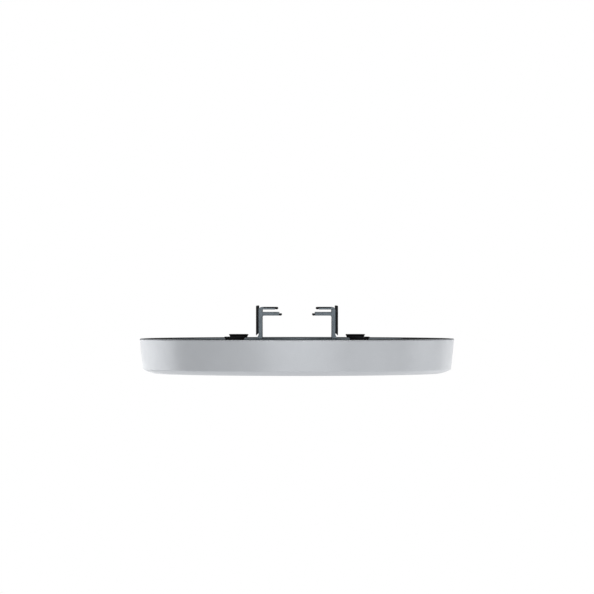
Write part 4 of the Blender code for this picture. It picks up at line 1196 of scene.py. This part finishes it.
def make_jack():
    """The shielded jack: stepped socket with its latch groove, comb and eight spring contacts."""
    front, foot, top, half = JACK_LOW.y, SOCKET_FOOT_Z, SOCKET_TOP_Z, SOCKET_HALF_WIDTH
    shell = block("jack_shell", JACK_LOW, JACK_HIGH, EDGE, 0.0003)
    # Half width, foot, top and depth of the socket and of the two steps of its latch groove.
    steps = (
        (half, foot, top, 0.0125),
        (0.0031, top - 0.001, top + 0.0008, 0.0115),
        (0.0016, top, top + 0.0012, 0.0060),
    )
    for reach, low_z, high_z, depth in steps:
        start, end = (-reach, front - OVERCUT, low_z), (reach, front + depth, high_z)
        cut(shell, block("socket", start, end))
    for side in (-1, 1):
        near, far = span(side, JACK_HIGH.x - EDGE, JACK_HIGH.x + OVERCUT)
        start, end = (near, front + 0.003, -0.0300), (far, front + 0.0085, -0.0270)
        cut(shell, block("spring_window", start, end))
    show(shell, "tin_can", "ethernet_jack")
    comb = block("jack_comb", (-half, front + 0.0095, foot), (half, front + 0.0124, -0.0290))
    slots, places = [], []
    for i in range(8):
        x = (i - 3.5) * CONTACT_PITCH
        start, end = (x - GAP, front + 0.0085, -0.0306), (x + GAP, front + 0.0118, -0.028)
        slots.append(block("slot", start, end))
        places.append(placed(x, front + 0.0014, foot + HAIR, 90.0))
    cut(comb, join("slots", slots))
    show(comb, "black_plastic")
    spring = [(0.0, 0.0), (0.0098, 0.0030), (0.0098, 0.00325), (0.0006, 0.00045), (0.0, 0.0003)]
    contact = prism("contact", [spring], -0.00022, 0.00022, plane="XZ")
    show(copies("jack_contacts", contact, places), "antenna_brass")


def make_reset():
    """The round button with a dished tip and a flange, and the switch behind it."""
    low, high, middle, flange_radius = sizes("reset_button")
    radius, stem_radius = 0.0015, 0.0009
    length = high.y - low.y
    flange = BAY_HIGH_Y + BAY_WALL + GAP - low.y
    flange_end = flange + 0.0006
    corners = [
        (0.0, EDGE, 0.0), (0.0009, EDGE, 0.0003), (0.0011, 0.0, HAIR), (radius, 0.0, EDGE),
        (radius, flange, 0.0), (flange_radius, flange, HAIR), (flange_radius, flange_end, HAIR),
        (stem_radius, flange_end, HAIR), (stem_radius, length, HAIR), (0.0, length, 0.0),
    ]
    lay = Matrix.Rotation(-math.pi / 2, 4, "X")
    button = turned("reset_plunger", corners, PIN_STEPS)
    button.data.transform(Matrix.Translation((middle.x, low.y, middle.z)) @ lay)
    show(button, "reset_grey", "reset_button", body="reset_button_body")
    low, high, middle, _ = sizes("reset_switch")
    body = block("reset_tact_switch", (low.x, low.y + 0.0008, low.z), high, HAIR, 0.0003)
    nub = rod("nub", 0.0011, 0.0, 0.0012, edge=HAIR)
    nub.data.transform(Matrix.Translation((middle.x, low.y, middle.z)) @ lay)
    add(body, nub)
    show(body, "chip_black", "reset_switch")


def make_status():
    """The round lens in the face, and the light under the board that shines through it."""
    low, high, _, flange_radius = sizes("status_lens")
    flange_foot = FACE_Z + FACE_THICKNESS + GAP
    corners = [
        (0.0, high.z, 0.0), (flange_radius, high.z, HAIR), (flange_radius, flange_foot, HAIR),
        (LENS_RADIUS, flange_foot, 0.0), (LENS_RADIUS, low.z + EDGE, EDGE),
        (LENS_RADIUS * 0.6, low.z, 0.0010), (0.0, low.z, 0.0),
    ]
    pipe = turned("light_pipe", corners, PIN_STEPS, (0.0, LENS_Y))
    show(pipe, "clear_lens", "status_lens")
    low, high, middle, _ = sizes("status_light")
    package = block("status_led", (low.x, low.y, low.z + 0.0003), high, FINE_EDGE, HAIR)
    add(package, rod("dome", 0.0004, low.z, high.z, middle.xy, 0.0006, steps=32, edge=HAIR))
    show(package, "clear_lens", "status_light")


def make_antennas():
    """Stamped inverted-F antennas that stand on the board near its edge."""
    half, leg, feed, height = 0.011, 0.002, -0.005, 0.008
    under = height - 0.003
    corners = [
        (-half, 0.0), (-half + leg, 0.0), (-half + leg, under), (feed, under), (feed, 0.0),
        (feed + leg, 0.0), (feed + leg, under), (half, under), (half, height), (-half, height),
    ]
    loops = [rounded([(x, y, 0.0003) for x, y in corners])]
    loops.append(box_loop(0.001, 0.009, height - 0.0018, height - 0.0012, 0.0003))
    for number, degrees in enumerate(DIAGONALS, 1):
        sheet = prism(f"stamped_antenna_{number}", loops, -0.00025, 0.00025, 0.00008, "XZ")
        foot_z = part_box(f"antenna_{number}")[0].z
        sheet.data.transform(placed(*polar(ANTENNA_REACH, degrees), foot_z, degrees + 90.0))
        show(sheet, "antenna_brass", f"antenna_{number}")


def make_board_screws():
    """Pan-head screws with a cross recess, under the board."""
    places = ring_places(*BOARD_SCREWS)
    for number, place in enumerate(places, 1):
        low, high, _, radius = sizes(f"board_screw_{number}")
        top = low.z + 0.0010
        screw = rod(f"pan_screw_{number}", radius, low.z, top, place, steps=64, edge=0.0003)
        add(screw, threaded("shaft", 0.0012, top - EDGE, high.z, place, 0.0005, 0.0002))
        cut_cross(screw, place, low.z)
        show(screw, "zinc_steel", f"board_screw_{number}")


# Carried-over CAD nodes.


def dress_cad_nodes():
    """Gives each CAD node its slot's finish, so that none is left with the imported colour."""
    slots = {row["node"]: row["material_slot"] for row in frame["record"]["subparts"]}
    for name, obj in frame["nodes"].items():
        obj.data.materials.clear()
        obj.data.materials.append(FINISH[slots[name]])


# Studio.


def make_camera():
    data = bpy.data.cameras.new("camera")
    data.sensor_width = SENSOR_WIDTH
    data.lens = SENSOR_WIDTH * CAMERA_DISTANCE / FIELD_WIDTH
    camera = new_object("camera", data)
    camera.location = (0.0, -CAMERA_DISTANCE, CAMERA_HEIGHT)
    camera.rotation_euler = (math.pi / 2, 0.0, 0.0)
    data.clip_start = 0.01
    data.clip_end = 100.0
    bpy.context.scene.camera = camera


def make_light(name, around, up, width, height, watts):
    """A soft rectangle that faces the access point."""
    data = bpy.data.lights.new(name, "AREA")
    data.shape = "RECTANGLE"
    data.size = width
    data.size_y = height
    data.energy = watts
    lamp = new_object(name, data)
    turn, rise = math.radians(around), math.radians(up)
    away = Vector(
        (math.sin(turn) * math.cos(rise), -math.cos(turn) * math.cos(rise), math.sin(rise))
    )
    centre = Vector((0.0, 0.0, (RIM_Z + FACE_Z) / 2))
    lamp.location = centre + away * LIGHT_DISTANCE
    lamp.rotation_euler = away.to_track_quat("Z", "Y").to_euler()
    lamp.visible_camera = False


def make_world():
    """White behind the object, and a soft grey light from all round."""
    world = bpy.data.worlds.new("studio")
    bpy.context.scene.world = world
    world.use_nodes = True
    tree = world.node_tree
    tree.nodes.clear()
    seen = node(tree, "ShaderNodeBackground", Color=(1.0, 1.0, 1.0, 1.0), Strength=1.0)
    light = node(tree, "ShaderNodeBackground", Color=(0.95, 0.98, 1.0, 1.0), Strength=AMBIENT)
    path = node(tree, "ShaderNodeLightPath")
    mix = node(tree, "ShaderNodeMixShader")
    output = node(tree, "ShaderNodeOutputWorld")
    tree.links.new(path.outputs["Is Camera Ray"], mix.inputs[0])
    tree.links.new(light.outputs[0], mix.inputs[1])
    tree.links.new(seen.outputs[0], mix.inputs[2])
    tree.links.new(mix.outputs[0], output.inputs["Surface"])


def make_floor():
    """The plain pale floor of the room, far below the ceiling."""
    shape = bmesh.new()
    bmesh.ops.create_grid(shape, x_segments=4, y_segments=4, size=FLOOR_HALF_SIZE)
    bmesh.ops.translate(shape, verts=shape.verts, vec=(0.0, 0.0, -FLOOR_DROP))
    floor = as_object("floor", shape)
    material = bpy.data.materials.new("floor")
    material.use_nodes = True
    shader = material.node_tree.nodes["Principled BSDF"]
    shader.inputs["Base Color"].default_value = (0.82, 0.82, 0.82, 1.0)
    shader.inputs["Roughness"].default_value = 0.9
    shader.inputs["Emission Color"].default_value = (1.0, 1.0, 1.0, 1.0)
    shader.inputs["Emission Strength"].default_value = FLOOR_GLOW
    floor.data.materials.append(material)
    floor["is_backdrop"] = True


def make_studio():
    bpy.context.scene.view_settings.view_transform = "Standard"
    make_camera()
    make_world()
    make_floor()
    for row in LIGHTS:
        make_light(*row)


def write_size():
    """The CAD model's box and the visual model's box, as plain lists; nothing is written out."""
    boxes = {"cad": CAD_BOX, "visual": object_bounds()}
    rows = {name: [list(corner) for corner in corners] for name, corners in boxes.items()}


FINISH = {name: make_finish(name) for name in FINISHES}
dress_cad_nodes()
make_cover()
make_housing()
make_pads()
make_plate()
for word, side in (("left", -1), ("right", 1)):
    make_jaw(word, side)
    make_foot(word, side)
    make_grip(word, side)
    make_trims(word, side)
    make_lock_screw(word)
make_housing_screws()
make_gasket()
make_board()
make_small_parts()
make_chips()
make_cans()
make_crystal()
make_spreader()
make_capacitors()
make_inductors()
make_transformer()
make_jack()
make_reset()
make_status()
make_antennas()
make_board_screws()
make_studio()
write_size()
